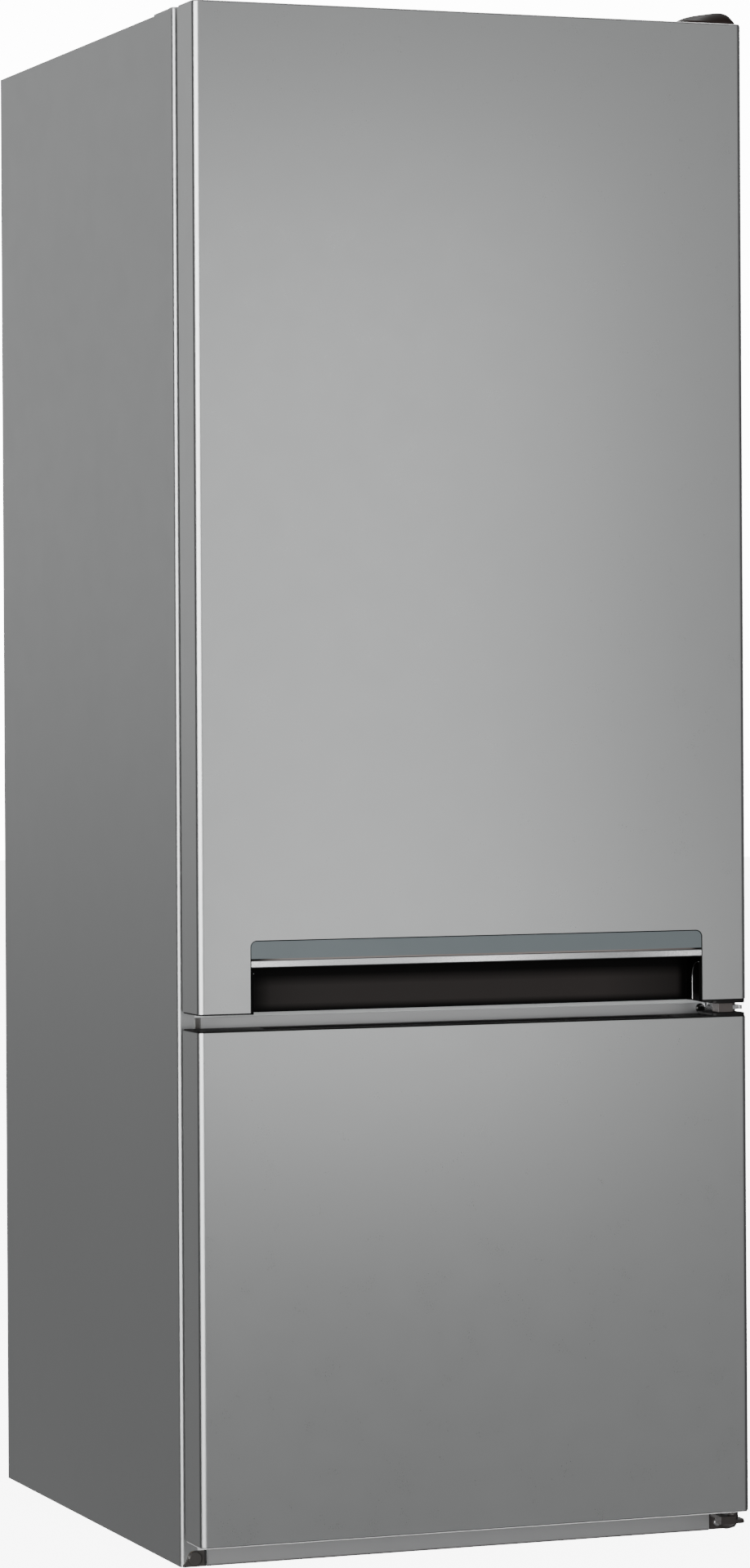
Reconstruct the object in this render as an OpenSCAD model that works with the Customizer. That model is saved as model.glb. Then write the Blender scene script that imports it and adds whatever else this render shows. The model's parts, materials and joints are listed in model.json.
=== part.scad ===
// Free-standing refrigerator with two doors and the freezer below.
// Millimetres. X runs to the hinge side, Y to the rear, Z up from the floor.
// The origin is on the floor, below the middle of the whole refrigerator.

/* [Overall] */
// Width across the side panels
total_w = 595; // [575:1:640]
// Depth from the door fronts to the wall spacers
total_d = 655; // [640:1:700]
// Height of the side panels
cabinet_h = 1550; // [1500:1:1700]
// Clearance between the floor and the side panels
foot_h = 16; // [15:0.5:20]

/* [Cabinet shell] */
// Thickness of the painted steel sheet
sheet_t = 1; // [0.8:0.1:1.4]
// Outer radius of the folded sheet edges
fold_r = 3.5; // [2.5:0.5:5]
// Width of the folded front and rear flanges
flange_w = 17.5; // [15:0.5:22]
// Distance from the back panel to the rear edges of the side panels
rear_recess = 45; // [40:1:55]
// Thickness of the top panel
top_t = 4; // [3:0.5:6]
// Height of the raised front lip of the top panel
top_lip_h = 2; // [1.5:0.1:3]
// Depth of the raised front lip of the top panel
top_lip_d = 14; // [10:1:20]
// Reach of the top panel behind the back panel
top_overhang = 12; // [8:1:20]
// Thickness of the wall spacers behind the side panels
spacer_t = 5; // [4:1:12]
// Width of a wall spacer
spacer_w = 15; // [12:1:17]
// Height of a wall spacer
spacer_h = 60; // [40:1:90]
// Thickness of the base plate
base_t = 1.5; // [1:0.1:2]

/* [Insulation] */
// Thickness of the side walls of the fridge
fridge_wall = 40; // [36:1:45]
// Thickness of the rear wall of the fridge
fridge_back = 46; // [40:1:60]
// Thickness of the roof above the fridge
fridge_roof = 44; // [40:1:60]
// Thickness of the side walls of the freezer
freezer_wall = 58; // [54:1:62]
// Thickness of the rear wall of the freezer
freezer_back = 60; // [50:1:70]
// Thickness of the freezer floor
freezer_floor = 70; // [60:1:80]
// Thickness of the wall between fridge and freezer
mullion_h = 64; // [60:1:76]
// Thickness of the plastic liners
liner_t = 1.5; // [1:0.1:2]
// Corner radius of the liners in front view
liner_r = 16; // [8:1:24]

/* [Doors] */
// Thickness of a door without its gasket
door_t = 50; // [46:1:56]
// Gap between a closed door and the cabinet front
gasket_gap = 12.8; // [11:0.1:16]
// Height of the lower door's edge above the side panels' lower end
door_rise = 28; // [24:1:36]
// Height of the upper door's top above the top panel
door_top_rise = 1; // [0:0.1:1.2]
// Height of the lower door
lower_door_h = 508.5; // [480:0.5:560]
// Gap between the two doors
door_split = 15.5; // [15:0.5:20]
// Radius of the upright front edges of the doors
door_r = 6; // [5:0.5:10]
// Radius of the upright rear edges of the doors
door_rear_r = 2.5; // [2:0.1:4]
// Radius of the rear corners of the doors in side view
door_end_r = 5; // [3:0.5:8]
// Width of the folded edge behind a door
door_return_w = 10; // [7:0.5:12]
// Height of the visible lip of a door's end cap
cap_lip_h = 1.5; // [1:0.1:3]
// Depth of an end cap inside the door
cap_plug_h = 14; // [12:0.5:20]
// Step from the door's face to the lip of its end cap
cap_inset = 0.8; // [0.4:0.1:1.5]
// Distance from the door's edge to its gasket
gasket_inset = 7; // [5:0.5:9]
// Width of the gasket
gasket_w = 15; // [12:0.5:15]
// Width of the gasket's neck at the door
gasket_neck_w = 8; // [6:0.5:10]
// Thickness of the gasket's neck
gasket_neck_t = 4; // [3:0.5:6]

/* [Door liners] */
// Gap between the raised rim of a door liner and the cabinet walls
rim_gap = 17.5; // [15:0.5:24]
// Width of the raised rim of a door liner
rim_w = 22; // [16:1:26]
// Height of the upper door's rim
upper_rim_h = 34; // [25:1:38]
// Height of the lower door's rim
lower_rim_h = 15; // [10:1:18]
// Depth of the small door balconies
balcony_d = 85; // [70:1:90]
// Depth of the bottle balcony
bottle_d = 100; // [85:1:104]
// Height of the small door balconies
balcony_h = 72; // [50:1:90]
// Height of the bottle balcony
bottle_h = 112; // [90:1:130]
// Wall thickness of the balconies
balcony_wall = 2; // [1.6:0.1:3]

/* [Handle] */
// Distance from the free edge of the door to the handle recess
handle_side = 54.25; // [50:0.25:80]
// Distance from the handle recess to the hinge edge of the door
handle_hinge_side = 50.25; // [46:0.25:80]
// Height of the handle recess
handle_h = 73; // [62:0.5:90]
// Radius of the upper corners of the recess
handle_r = 7; // [4:0.5:10]
// Width of the dark groove round the handle panel
handle_groove = 1; // [0.6:0.1:1.5]
// Height of the handle panel
handle_panel_h = 17.2; // [14:0.1:24]
// Height of the chrome strip below the panel
strip_h = 7.8; // [5:0.1:12]
// Thickness of the handle panel and the strip
handle_panel_t = 3; // [2:0.5:4]
// Depth of the pocket behind the handle
pocket_d = 35; // [30:1:38]
// Wall thickness of the pocket
pocket_wall = 2; // [1.5:0.1:3]

/* [Hinges] */
// Distance from the cabinet side to the hinge pins
pin_side = 11.5; // [11:0.5:14]
// Distance from the door fronts to the hinge pins
pin_front = 17; // [16:0.5:19]
// Radius of the hinge pins
pin_r = 4; // [3:0.1:4.5]
// Radial clearance of the hinge pins in the doors
pin_clear = 0.08; // [0.04:0.01:0.1]
// Length of a hinge pin inside a door
pin_depth = 12; // [8:0.5:12]
// Thickness of the hinge plates
hinge_t = 4; // [3:0.5:5]
// Height of the top hinge cover above the cabinet
cover_h = 22; // [18:1:26]
// Wall thickness of the top hinge cover
cover_wall = 1.8; // [1.4:0.1:2.4]
// Radius of the hinge screws
screw_r = 2.5; // [2:0.1:3]

/* [Fridge interior] */
// Gap between the bottle balcony and the shelves
shelf_gap = 15; // [12:1:25]
// Thickness of the glass shelves
glass_t = 4; // [3:0.5:5]
// Height of the shelves' front trim
trim_h = 14; // [10:1:20]
// Height of the crisper drawer
crisper_h = 168; // [140:1:190]
// Gap between the crisper drawer and each side wall of the fridge
crisper_side_gap = 35.5; // [33:0.5:50]
// Wall thickness of the drawers
drawer_wall = 2.2; // [1.8:0.1:3]
// Height of the control housing under the fridge roof
control_h = 40; // [34:1:46]
// Width of the control housing
control_w = 260; // [200:1:320]
// Radius of the thermostat knob
knob_r = 16; // [12:0.5:18]

/* [Freezer interior] */
// Distance from the door fronts to the freezer drawers
drawer_set_back = 110; // [106:1:125]
// Gap between the freezer drawers and each side wall of the freezer
drawer_side_gap = 11.5; // [11:0.5:25]
// Height of the lower freezer drawer
lower_drawer_h = 180; // [150:1:186]
// Height of the upper freezer drawer
upper_drawer_h = 200; // [160:1:206]
// Radius of the evaporator tube
evap_tube_r = 3.5; // [2.5:0.1:4]

/* [Machine compartment] */
// Height of the machine compartment above the side panels' lower end
recess_h = 214; // [206:1:222]
// Depth of the machine compartment from the side panels' rear edge
recess_d = 210; // [200:1:220]
// Radius of the compressor shell
comp_r = 72; // [60:1:76]
// Height of the compressor shell
comp_h = 152; // [130:1:156]
// Radius of the rear rollers
roller_r = 13; // [11:0.5:14]
// Width of the rear rollers
roller_w = 16; // [12:1:20]
// Radius of the front feet
foot_r = 16; // [12:0.5:20]

/* [Condenser] */
// Radius of the condenser tube
tube_r = 2.4; // [2:0.1:3]
// Distance between the rows of the condenser tube
tube_pitch = 60; // [50:1:70]
// Number of rows of the condenser tube
tube_rows = 18; // [10:2:20]
// Radius of the condenser wires
wire_r = 0.75; // [0.5:0.05:1]
// Distance between the condenser wires
wire_pitch = 13; // [10:0.5:20]

/* [Hidden] */
$fn = 48;

// Overrun of every cut past the face that it leaves by
over = 2;
// Gap that keeps a resting piece just clear of its seat
seat = 0.3;

// Main planes
half_w = total_w / 2;
inner_hw = half_w - sheet_t;
front_y = -total_d / 2;
rear_y = total_d / 2;
side_rear_y = rear_y - spacer_t;
cab_y = front_y + door_t + gasket_gap;
back_y = side_rear_y - rear_recess;
cab_z = foot_h;
cab_top = cab_z + cabinet_h;
door_back_y = front_y + door_t;

// Levels of the doors
lower_z0 = cab_z + door_rise;
lower_z1 = lower_z0 + lower_door_h;
upper_z0 = lower_z1 + door_split;
upper_z1 = cab_top + door_top_rise;
split_z = (lower_z1 + upper_z0) / 2;

// Compartments
fridge_hw = half_w - fridge_wall;
fridge_z0 = split_z + mullion_h / 2;
fridge_z1 = cab_top - fridge_roof;
fridge_back_y = back_y - fridge_back;
freezer_hw = half_w - freezer_wall;
freezer_z0 = cab_z + freezer_floor;
freezer_z1 = split_z - mullion_h / 2;
freezer_back_y = back_y - freezer_back;
recess_y = side_rear_y - recess_d;
recess_z = cab_z + recess_h;
// Insulation between the machine compartment and the freezer
step_wall = 50;
step_y = recess_y - step_wall;
step_z = recess_z + step_wall;

// Fridge fittings
shelf_y0 = door_back_y + bottle_d + shelf_gap;
shelf_back_gap = 15;
shelf_y1 = fridge_back_y - shelf_back_gap;
// Side gap of the crisper drawer, and the shoulders of the liner beside it
crisper_gap = 1.5;
crisper_hw = fridge_hw - crisper_side_gap;
shoulder_hw = crisper_hw + crisper_gap;
shoulder_z = fridge_z0 + crisper_h + 2 * crisper_gap;
crisper_back_gap = 40;
crisper_y0 = shelf_y0;
crisper_y1 = fridge_back_y - crisper_back_gap;
// Ledges that carry the shelves
ledge_w = 8;
ledge_h = 5;
ledge_set_back = 12;
ledge_rows = 7;
ledge_z0 = shoulder_z + crisper_h / 2;
ledge_span = fridge_z1 - control_h - ledge_z0;
ledge_pitch = ledge_span / ledge_rows;
// Heights of the three shelves as shares of that span, each on a ledge
shelf_shares = [1, 3, 5] / ledge_rows;
shelf_zs = [for (s = shelf_shares) ledge_z0 + s * ledge_span];
// Side gap of the glass shelves
glass_gap = 2.5;

// Hinge axis
pin_x = half_w - pin_side;
pin_y = front_y + pin_front;

// Primitive helpers

// Box between a low and a high corner
module block(low, high) {
    translate(low) cube(high - low);
}

// Extrude an outline drawn in X and Z along Y, from y0 over the length t
module along_y(y0, t) {
    translate([0, y0 + t, 0]) rotate([90, 0, 0]) linear_extrude(t) children();
}

// Extrude an outline drawn in Y and Z along X, from x0 over the length t
module along_x(x0, t) {
    translate([x0, 0, 0]) rotate([90, 0, 90]) linear_extrude(t) children();
}

// Extrude an outline drawn in X and Y along Z, from z0 over the height h
module along_z(z0, h) {
    translate([0, 0, z0]) linear_extrude(h) children();
}

// The piece that rounds one corner of an outline
module corner_cut(r) {
    difference() {
        translate([-over, -over]) square(r + over);
        translate([r, r]) circle(r);
    }
}

// Rectangle with a radius of its own at each corner, anticlockwise from the low corner
module outline(low, high, radii) {
    size = high - low;
    translate(low) difference() {
        square(size);
        if (radii[0] > 0) corner_cut(radii[0]);
        if (radii[1] > 0) translate([size[0], 0]) rotate(90) corner_cut(radii[1]);
        if (radii[2] > 0) translate(size) rotate(180) corner_cut(radii[2]);
        if (radii[3] > 0) translate([0, size[1]]) rotate(270) corner_cut(radii[3]);
    }
}

// Rectangle with the same radius at all corners
module even_outline(low, high, r) {
    outline(low, high, [r, r, r, r]);
}

// Open box of height h with round upright corners, between two corners in plan
module tub(low, high, h, r, wall) {
    difference() {
        linear_extrude(h) even_outline(low, high, r);
        along_z(wall, h) even_outline(low + wall * [1, 1], high - wall * [1, 1], r - wall);
    }
}

// Tube that runs to and fro in X, one pitch further in Y each time
module serpentine(hw, pitch, rows, r) {
    for (k = [0 : rows - 1]) translate([-hw, k * pitch, 0]) rotate([0, 90, 0]) cylinder(r = r, h = 2 * hw);
    for (k = [0 : rows - 2]) {
        side = k % 2 == 0 ? 1 : -1;
        translate([side * hw, (k + 0.5) * pitch, 0]) rotate([0, 0, -side * 90])
            rotate_extrude(angle = 180) translate([pitch / 2, 0]) circle(r);
    }
}

// A tube that runs up and then follows steps of [length, bend radius, bend angle, roll]
module pipe(r, steps, k = 0) {
    if (k < len(steps)) {
        run = steps[k][0];
        bend = steps[k][1];
        turn = steps[k][2];
        if (run > 0) cylinder(r = r, h = run);
        translate([0, 0, run]) rotate([0, 0, steps[k][3]]) {
            if (turn > 0) {
                translate([bend, 0, 0]) rotate([90, 0, 0]) rotate([0, 0, 180 - turn])
                    rotate_extrude(angle = turn) translate([bend, 0]) circle(r);
                translate([bend * (1 - cos(turn)), 0, bend * sin(turn)]) rotate([0, turn, 0])
                    pipe(r, steps, k + 1);
            }
        }
    }
}

// Both sides of the cabinet
module both_sides() {
    children();
    mirror([1, 0, 0]) children();
}

// Cabinet shell

// Place of the corner plug from the side and from the lower end, and the cut in the flange round it
plug_x = 14;
plug_z = 8.2;
plug_arch_r = 7.6;
plug_low = 2;

// Outline of that cut in front view, moved in by the inset
module plug_cut(inset) {
    translate([-half_w + plug_x, cab_z + plug_z]) circle(plug_arch_r - inset);
    translate([-half_w, cab_z]) polygon([
        [plug_low + inset, 0],
        [plug_low + inset, plug_low],
        [plug_x - plug_arch_r + inset, plug_z],
        [plug_x + plug_arch_r - inset, plug_z],
        [plug_x + plug_arch_r - inset, 0]
    ]);
}

module side_panel() {
    color("silver") difference() {
        along_z(cab_z, cabinet_h) difference() {
            outline([-half_w, cab_y], [-half_w + flange_w, side_rear_y], [fold_r, 0, 0, fold_r]);
            outline([-half_w + sheet_t, cab_y + sheet_t],
                    [-half_w + flange_w + over, side_rear_y - sheet_t],
                    [fold_r - sheet_t, 0, 0, fold_r - sheet_t]);
        }
        along_y(cab_y - over, sheet_t + 2 * over) {
            plug_cut(0);
            translate([-half_w + plug_low, cab_z - over]) square([flange_w, over + seat]);
        }
    }
}

module side_panel_left() {
    side_panel();
}

module side_panel_right() {
    mirror([1, 0, 0]) side_panel();
}

// Raised pads on the top panel, under the hinge plate and the cap of its spare seat
pad_w = 49.5;
pad_d = 62;

module top_panel() {
    color("gainsboro") union() {
        along_z(cab_top - top_t, top_t)
            outline([-inner_hw, cab_y + sheet_t], [inner_hw, back_y + top_overhang], [fold_r, fold_r, 0, 0]);
        along_z(cab_top, top_lip_h)
            outline([-half_w, cab_y], [half_w, cab_y + top_lip_d], [fold_r, fold_r, fold_r, fold_r]);
        both_sides() along_z(cab_top, top_lip_h)
            outline([half_w - sheet_t - pad_w, cab_y + sheet_t], [half_w - sheet_t, cab_y + pad_d],
                    [0, 0, fold_r, fold_r]);
    }
}

// Stiffening beads pressed into the back panel, the outer ones beside the condenser's posts
bead_h = 1.8;
bead_w = 26;
bead_gap = 3;

module back_panel() {
    bead_z0 = recess_z + bead_w * 2;
    bead_z1 = cab_top - top_t - bead_w * 2;
    bead_x = post_x - (bracket_w + bead_w) / 2 - bead_gap;
    color("lightgray") union() {
        block([-inner_hw, back_y - sheet_t, recess_z], [inner_hw, back_y, cab_top - top_t]);
        for (x = [-bead_x, 0, bead_x]) along_y(back_y - sheet_t, sheet_t + bead_h)
            even_outline([x - bead_w / 2, bead_z0], [x + bead_w / 2, bead_z1], bead_w / 2 - seat);
    }
}

// Threaded boss above each front foot
boss_r = 10;
boss_h = 24;
stud_r = 5;
stud_clear = 0.1;
foot_side = 45;
foot_set_back = 100;
foot_x = half_w - foot_side;
foot_y = cab_y + foot_set_back;

module base_plate() {
    color("dimgray") difference() {
        union() {
            along_x(-inner_hw, 2 * inner_hw) polygon([
                [cab_y + sheet_t, cab_z],
                [recess_y, cab_z],
                [recess_y, recess_z - base_t],
                [back_y, recess_z - base_t],
                [back_y, recess_z],
                [recess_y - base_t, recess_z],
                [recess_y - base_t, cab_z + base_t],
                [cab_y + sheet_t, cab_z + base_t]
            ]);
            both_sides() translate([foot_x, foot_y, cab_z]) cylinder(r = boss_r, h = boss_h);
        }
        both_sides() translate([foot_x, foot_y, cab_z - over])
            cylinder(r = stud_r + stud_clear, h = boss_h - base_t + over);
    }
}

// Compartment of the fridge, grown by the liner's thickness where foam is cut
module fridge_cavity(grow) {
    difference() {
        along_y(cab_y - over, fridge_back_y + grow - cab_y + over)
            even_outline([-fridge_hw - grow, fridge_z0 - grow], [fridge_hw + grow, fridge_z1 + grow],
                         liner_r + grow);
        both_sides() block([shoulder_hw + grow, shelf_y0 + grow, fridge_z0 - liner_r],
                           [half_w, back_y, shoulder_z - grow]);
    }
}

// Compartment of the freezer with the step over the machine compartment
module freezer_cavity(grow) {
    difference() {
        along_y(cab_y - over, freezer_back_y + grow - cab_y + over)
            even_outline([-freezer_hw - grow, freezer_z0 - grow], [freezer_hw + grow, freezer_z1 + grow],
                         liner_r + grow);
        block([-half_w, step_y + grow, cab_z], [half_w, back_y, step_z - grow]);
    }
}

module cabinet_foam() {
    color("khaki") difference() {
        along_z(cab_z + base_t, cabinet_h - top_t - base_t)
            outline([-inner_hw, cab_y + liner_t], [inner_hw, back_y - sheet_t], [fold_r, fold_r, 0, 0]);
        fridge_cavity(liner_t);
        freezer_cavity(liner_t);
        block([-half_w, recess_y - base_t, cab_z], [half_w, back_y, recess_z]);
        both_sides() translate([foot_x, foot_y, cab_z]) cylinder(r = boss_r, h = boss_h);
    }
}

// Front flange of a liner between the steel flanges, from z0 to z1
module liner_flange(z0, z1) {
    block([-half_w + flange_w, cab_y, z0], [half_w - flange_w, cab_y + liner_t, z1]);
}

// Gutter and drain under the cold rear wall
gutter_h = 10;
gutter_d = 16;
gutter_drop = 14;
drain_r = 6;
// Raised cold plate on the rear wall
cold_side = 67.5;
cold_hw = fridge_hw - cold_side;
cold_t = 6;
// How far what is moulded on a liner's wall runs into the wall
root = liner_t / 2;

module fridge_liner() {
    gutter_z = shoulder_z + 2 * gutter_drop;
    cold_z0 = gutter_z + 2 * gutter_drop;
    color("white") union() {
        difference() {
            union() {
                intersection() {
                    fridge_cavity(liner_t);
                    block([-half_w, cab_y, cab_z], [half_w, back_y, cab_top]);
                }
                liner_flange(split_z, cab_top - top_t);
            }
            fridge_cavity(0);
        }
        along_y(fridge_back_y - cold_t, cold_t + root)
            even_outline([-cold_hw, cold_z0], [cold_hw, fridge_z1 - 2 * control_h], liner_r);
        difference() {
            along_y(fridge_back_y - gutter_d, gutter_d + root) polygon([
                [-cold_hw, gutter_z + gutter_drop],
                [0, gutter_z],
                [cold_hw, gutter_z + gutter_drop],
                [cold_hw, gutter_z + gutter_drop + gutter_h],
                [0, gutter_z + gutter_h],
                [-cold_hw, gutter_z + gutter_drop + gutter_h]
            ]);
            translate([0, fridge_back_y - gutter_d / 2, gutter_z - over])
                cylinder(r = drain_r, h = gutter_h + 2 * over);
        }
        both_sides() for (k = [0 : ledge_rows - 1])
            block([fridge_hw - ledge_w, shelf_y0 + ledge_set_back, ledge_z0 + k * ledge_pitch - ledge_h],
                  [fridge_hw + root, fridge_back_y + root, ledge_z0 + k * ledge_pitch]);
    }
}

// Shelves of the freezer
freezer_ledge_w = 9;
plate_t = 1.2;
lower_plate_z = step_z + 2 * evap_tube_r + seat;
upper_plate_drop = 21;
upper_plate_z = freezer_z1 - upper_plate_drop;

module freezer_liner() {
    color("white") union() {
        difference() {
            union() {
                intersection() {
                    freezer_cavity(liner_t);
                    block([-half_w, cab_y, cab_z], [half_w, back_y, cab_top]);
                }
                liner_flange(cab_z + base_t, split_z);
            }
            freezer_cavity(0);
        }
        both_sides() for (z = [lower_plate_z, upper_plate_z])
            block([freezer_hw - freezer_ledge_w, front_y + drawer_set_back, z - ledge_h],
                  [freezer_hw + root, freezer_back_y + root, z]);
    }
}

// Silver bar across the cabinet between the doors
crossbar_h = 11;
crossbar_d = 5;
crossbar_t = 1.2;
crossbar_gap = 3;
crossbar_drop = 1.3;
crossbar_z0 = lower_z1 - crossbar_drop;
crossbar_x0 = -half_w + flange_w + crossbar_d;
crossbar_x1 = half_w - flange_w - crossbar_gap;
crossbar_plug_r = 5;
crossbar_plug_x = crossbar_x1 - crossbar_h / 2;

module crossbar_trim() {
    color("silver") difference() {
        along_y(cab_y - crossbar_d, crossbar_d)
            outline([crossbar_x0, crossbar_z0], [crossbar_x1, crossbar_z0 + crossbar_h],
                    [0, crossbar_h / 2, crossbar_t, 0]);
        block([crossbar_x0 + crossbar_t, cab_y - crossbar_d + crossbar_t, crossbar_z0 + crossbar_t],
              [crossbar_x1 + over, cab_y + over, crossbar_z0 + crossbar_h - crossbar_t]);
    }
}

// Steel rail below the lower door
rail_h = 27;
rail_d = 4;
rail_x0 = -half_w + 2 * plug_x - sheet_t;
rail_x1 = half_w - flange_w - sheet_t;

module bottom_rail() {
    color("silver") difference() {
        along_x(rail_x0, rail_x1 - rail_x0)
            outline([cab_y - rail_d, cab_z], [cab_y, cab_z + rail_h],
                    [fold_r - sheet_t, 0, 0, fold_r - sheet_t]);
        block([rail_x0 - over, cab_y - rail_d + sheet_t, cab_z + sheet_t],
              [rail_x1 + over, cab_y + over, cab_z + rail_h - sheet_t]);
    }
}

// Round bosses of the plugs and the body of the corner plug, with the block at the crossbar's free end
plug_boss_r = 7;
plug_boss_h = 2.5;
plug_body_d = 1.5;
plug_body_h = 16;

module corner_plugs() {
    color("dimgray") {
        union() {
            along_y(cab_y - plug_body_d, plug_body_d) {
                plug_cut(seat);
                translate([-half_w + plug_x, cab_z])
                    square([rail_x0 - sheet_t + half_w - plug_x, plug_body_h]);
            }
            translate([-half_w + plug_x, cab_y - plug_body_d, cab_z + plug_z]) rotate([90, 0, 0])
                rotate_extrude() outline([0, 0], [plug_boss_r, plug_boss_h], [0, 0, plug_boss_h / 2, 0]);
        }
        translate([crossbar_plug_x, cab_y - crossbar_d, crossbar_z0 + crossbar_h / 2]) rotate([90, 0, 0])
            rotate_extrude()
                outline([0, 0], [crossbar_plug_r, plug_boss_h], [0, 0, plug_boss_h * 2 / 3, 0]);
        block([crossbar_x0 - crossbar_d, cab_y - crossbar_d / 2, crossbar_z0],
              [crossbar_x0 - seat, cab_y, crossbar_z0 + crossbar_h]);
    }
}

// Hinges

// Plan sizes of the hinge plates
arm_hw = 9;
arm_front = 5.5;
arm_side = 1.5;
top_plate_x0 = half_w - sheet_t - pad_w;
top_plate_z = cab_top + top_lip_h;
screw_inset = 8.5;
// Right edge of every hinge plate
arm_x1 = half_w - arm_side;
screw_clear = 0.3;
// Places of the top hinge screws as shares of the plate
top_screw_shares = [[0.18, 0.5], [0.5, 0.8], [0.8, 0.5]];
top_screws = [for (s = top_screw_shares)
    [top_plate_x0 + s[0] * (pad_w - arm_side), cab_y + s[1] * pad_d]];

module top_hinge() {
    color("lightsteelblue") difference() {
        union() {
            along_z(top_plate_z, hinge_t) {
                outline([top_plate_x0, cab_y + arm_side], [arm_x1 - sheet_t, cab_y + pad_d - arm_side],
                        [fold_r, 0, fold_r, fold_r]);
                outline([pin_x - arm_hw, pin_y - arm_front], [arm_x1 - sheet_t, cab_y + pad_d / 2],
                        [arm_hw / 2, arm_hw / 2, 0, 0]);
            }
            translate([pin_x, pin_y, upper_z1 - pin_depth])
                cylinder(r = pin_r, h = top_plate_z + hinge_t - upper_z1 + pin_depth);
        }
        for (p = top_screws) translate([p[0], p[1], top_plate_z - over])
            cylinder(r = screw_r + screw_clear, h = hinge_t + 2 * over);
    }
}

// Cover of the top hinge: its side view, front view and plan, each moved in by the wall thickness
cover_w = 60.5;
cover_side = 0.5;
cover_front = 8;
cover_rear = 2.5;
cover_nose_r = 12;
cover_edge_r = 9;
cover_rear_r = 4;
cover_low_h = 2.2;
cover_front_share = 0.62;
cover_x1 = half_w - cover_side;
cover_x0 = cover_x1 - cover_w;
cover_y0 = front_y + cover_front;
cover_y1 = cab_y + pad_d + cover_rear;
cover_base_z = cab_top + top_lip_h + seat;

module cover_shape(inset) {
    low_z = cover_base_z - (inset > 0 ? over : 0);
    high_z = cab_top + cover_h - inset;
    front_z = cab_top + cover_h * cover_front_share - inset;
    left_z = cover_base_z + cover_low_h - inset;
    ridge_x = cover_x0 + (cover_x1 - cover_x0) * cover_front_share;
    ridge_y = cab_y;
    intersection() {
        along_z(low_z, high_z - low_z)
            outline([cover_x0 + inset, cover_y0 + inset], [cover_x1 - inset, cover_y1 - inset],
                    [cover_edge_r, cover_edge_r, cover_rear_r, cover_rear_r] - inset * [1, 1, 1, 1]);
        along_y(cover_y0, cover_y1 - cover_y0) difference() {
            outline([cover_x0 + inset, low_z], [cover_x1 - inset, high_z], [0, 0, cover_edge_r - inset, 0]);
            polygon([[cover_x0 - over, left_z], [cover_x0 + inset, left_z], [ridge_x, high_z],
                     [ridge_x, high_z + over], [cover_x0 - over, high_z + over]]);
        }
        along_x(cover_x0, cover_x1 - cover_x0) difference() {
            outline([cover_y0 + inset, low_z], [cover_y1 - inset, high_z], [0, 0, cover_edge_r - inset, 0]);
            polygon([[cover_y0 - over, front_z], [cover_y0 + cover_nose_r, front_z], [ridge_y, high_z],
                     [ridge_y, high_z + over], [cover_y0 - over, high_z + over]]);
            translate([cover_y0 + inset, front_z]) rotate(270) corner_cut(cover_nose_r - inset);
        }
    }
}

module top_hinge_cover() {
    color("#3a2f2b") difference() {
        cover_shape(0);
        cover_shape(cover_wall);
    }
}

// Bracket of the middle hinge: a flange on the cabinet with a tail behind the crossbar, and an arm
middle_flange_t = 3;
middle_flange_hh = 13;
middle_tail_h = 7;
middle_tail_w = 48;
middle_x0 = crossbar_x1 + sheet_t;
middle_tail_z = crossbar_z0 + crossbar_h / 2;
// Slot in the front edge of the arm, from the pin
arm_slot_x = 5.5;
arm_slot_w = 1.5;
// Plastic block clipped over the front of the arm, on the free side of the pin
bush_w = 16.5;
bush_h = 9;
bush_d = 15;
bush_x1 = pin_x - arm_side;

module middle_hinge() {
    color("lightsteelblue") difference() {
        union() {
            block([middle_x0, cab_y - middle_flange_t, split_z - middle_flange_hh],
                  [arm_x1, cab_y, split_z + middle_flange_hh]);
            block([middle_x0 - middle_tail_w, cab_y - middle_flange_t, middle_tail_z - middle_tail_h / 2],
                  [middle_x0 + over, cab_y, middle_tail_z + middle_tail_h / 2]);
            along_z(split_z - hinge_t / 2, hinge_t) difference() {
                outline([middle_x0, pin_y - arm_hw], [arm_x1, cab_y - over / 2],
                        [arm_hw / 2, arm_side, 0, 0]);
                translate([pin_x + arm_slot_x, pin_y - arm_hw - over]) square([arm_slot_w, 2 * over]);
            }
            translate([pin_x, pin_y, lower_z1 - pin_depth])
                cylinder(r = pin_r, h = upper_z0 - lower_z1 + 2 * pin_depth);
        }
        for (k = [1, 3]) translate([middle_x0 - k * middle_tail_w / 4, cab_y + over, middle_tail_z])
            rotate([90, 0, 0]) cylinder(r = screw_r + screw_clear, h = middle_flange_t + 2 * over);
    }
}

module middle_hinge_bush() {
    color("#33302e") difference() {
        union() {
            along_z(split_z - bush_h / 2, bush_h)
                even_outline([bush_x1 - bush_w, pin_y - arm_hw - arm_side],
                             [bush_x1, pin_y - arm_hw - arm_side + bush_d], arm_side / 2);
            translate([pin_x, pin_y, lower_z1 + seat])
                cylinder(r = pin_r + arm_side, h = door_split - 2 * seat);
        }
        translate([pin_x, pin_y, lower_z1 - over]) cylinder(r = pin_r, h = door_split + 2 * over);
        block([middle_x0, pin_y - arm_hw, split_z - hinge_t / 2], [half_w, cab_y, split_z + hinge_t / 2]);
    }
}

// Bracket of the bottom hinge with its side gusset and a block like that of the middle hinge
bottom_arm_h = 15;
bottom_arm_z = cab_z + bottom_arm_h;
bottom_flange_h = 32;
bottom_x0 = rail_x1 + sheet_t;
// Heights of its two screws above the side panels' lower end
bottom_screw_hs = [8, 25.5];
gusset_d = 30;
gusset_rise = 6;
bottom_bush_h = 8;

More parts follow.
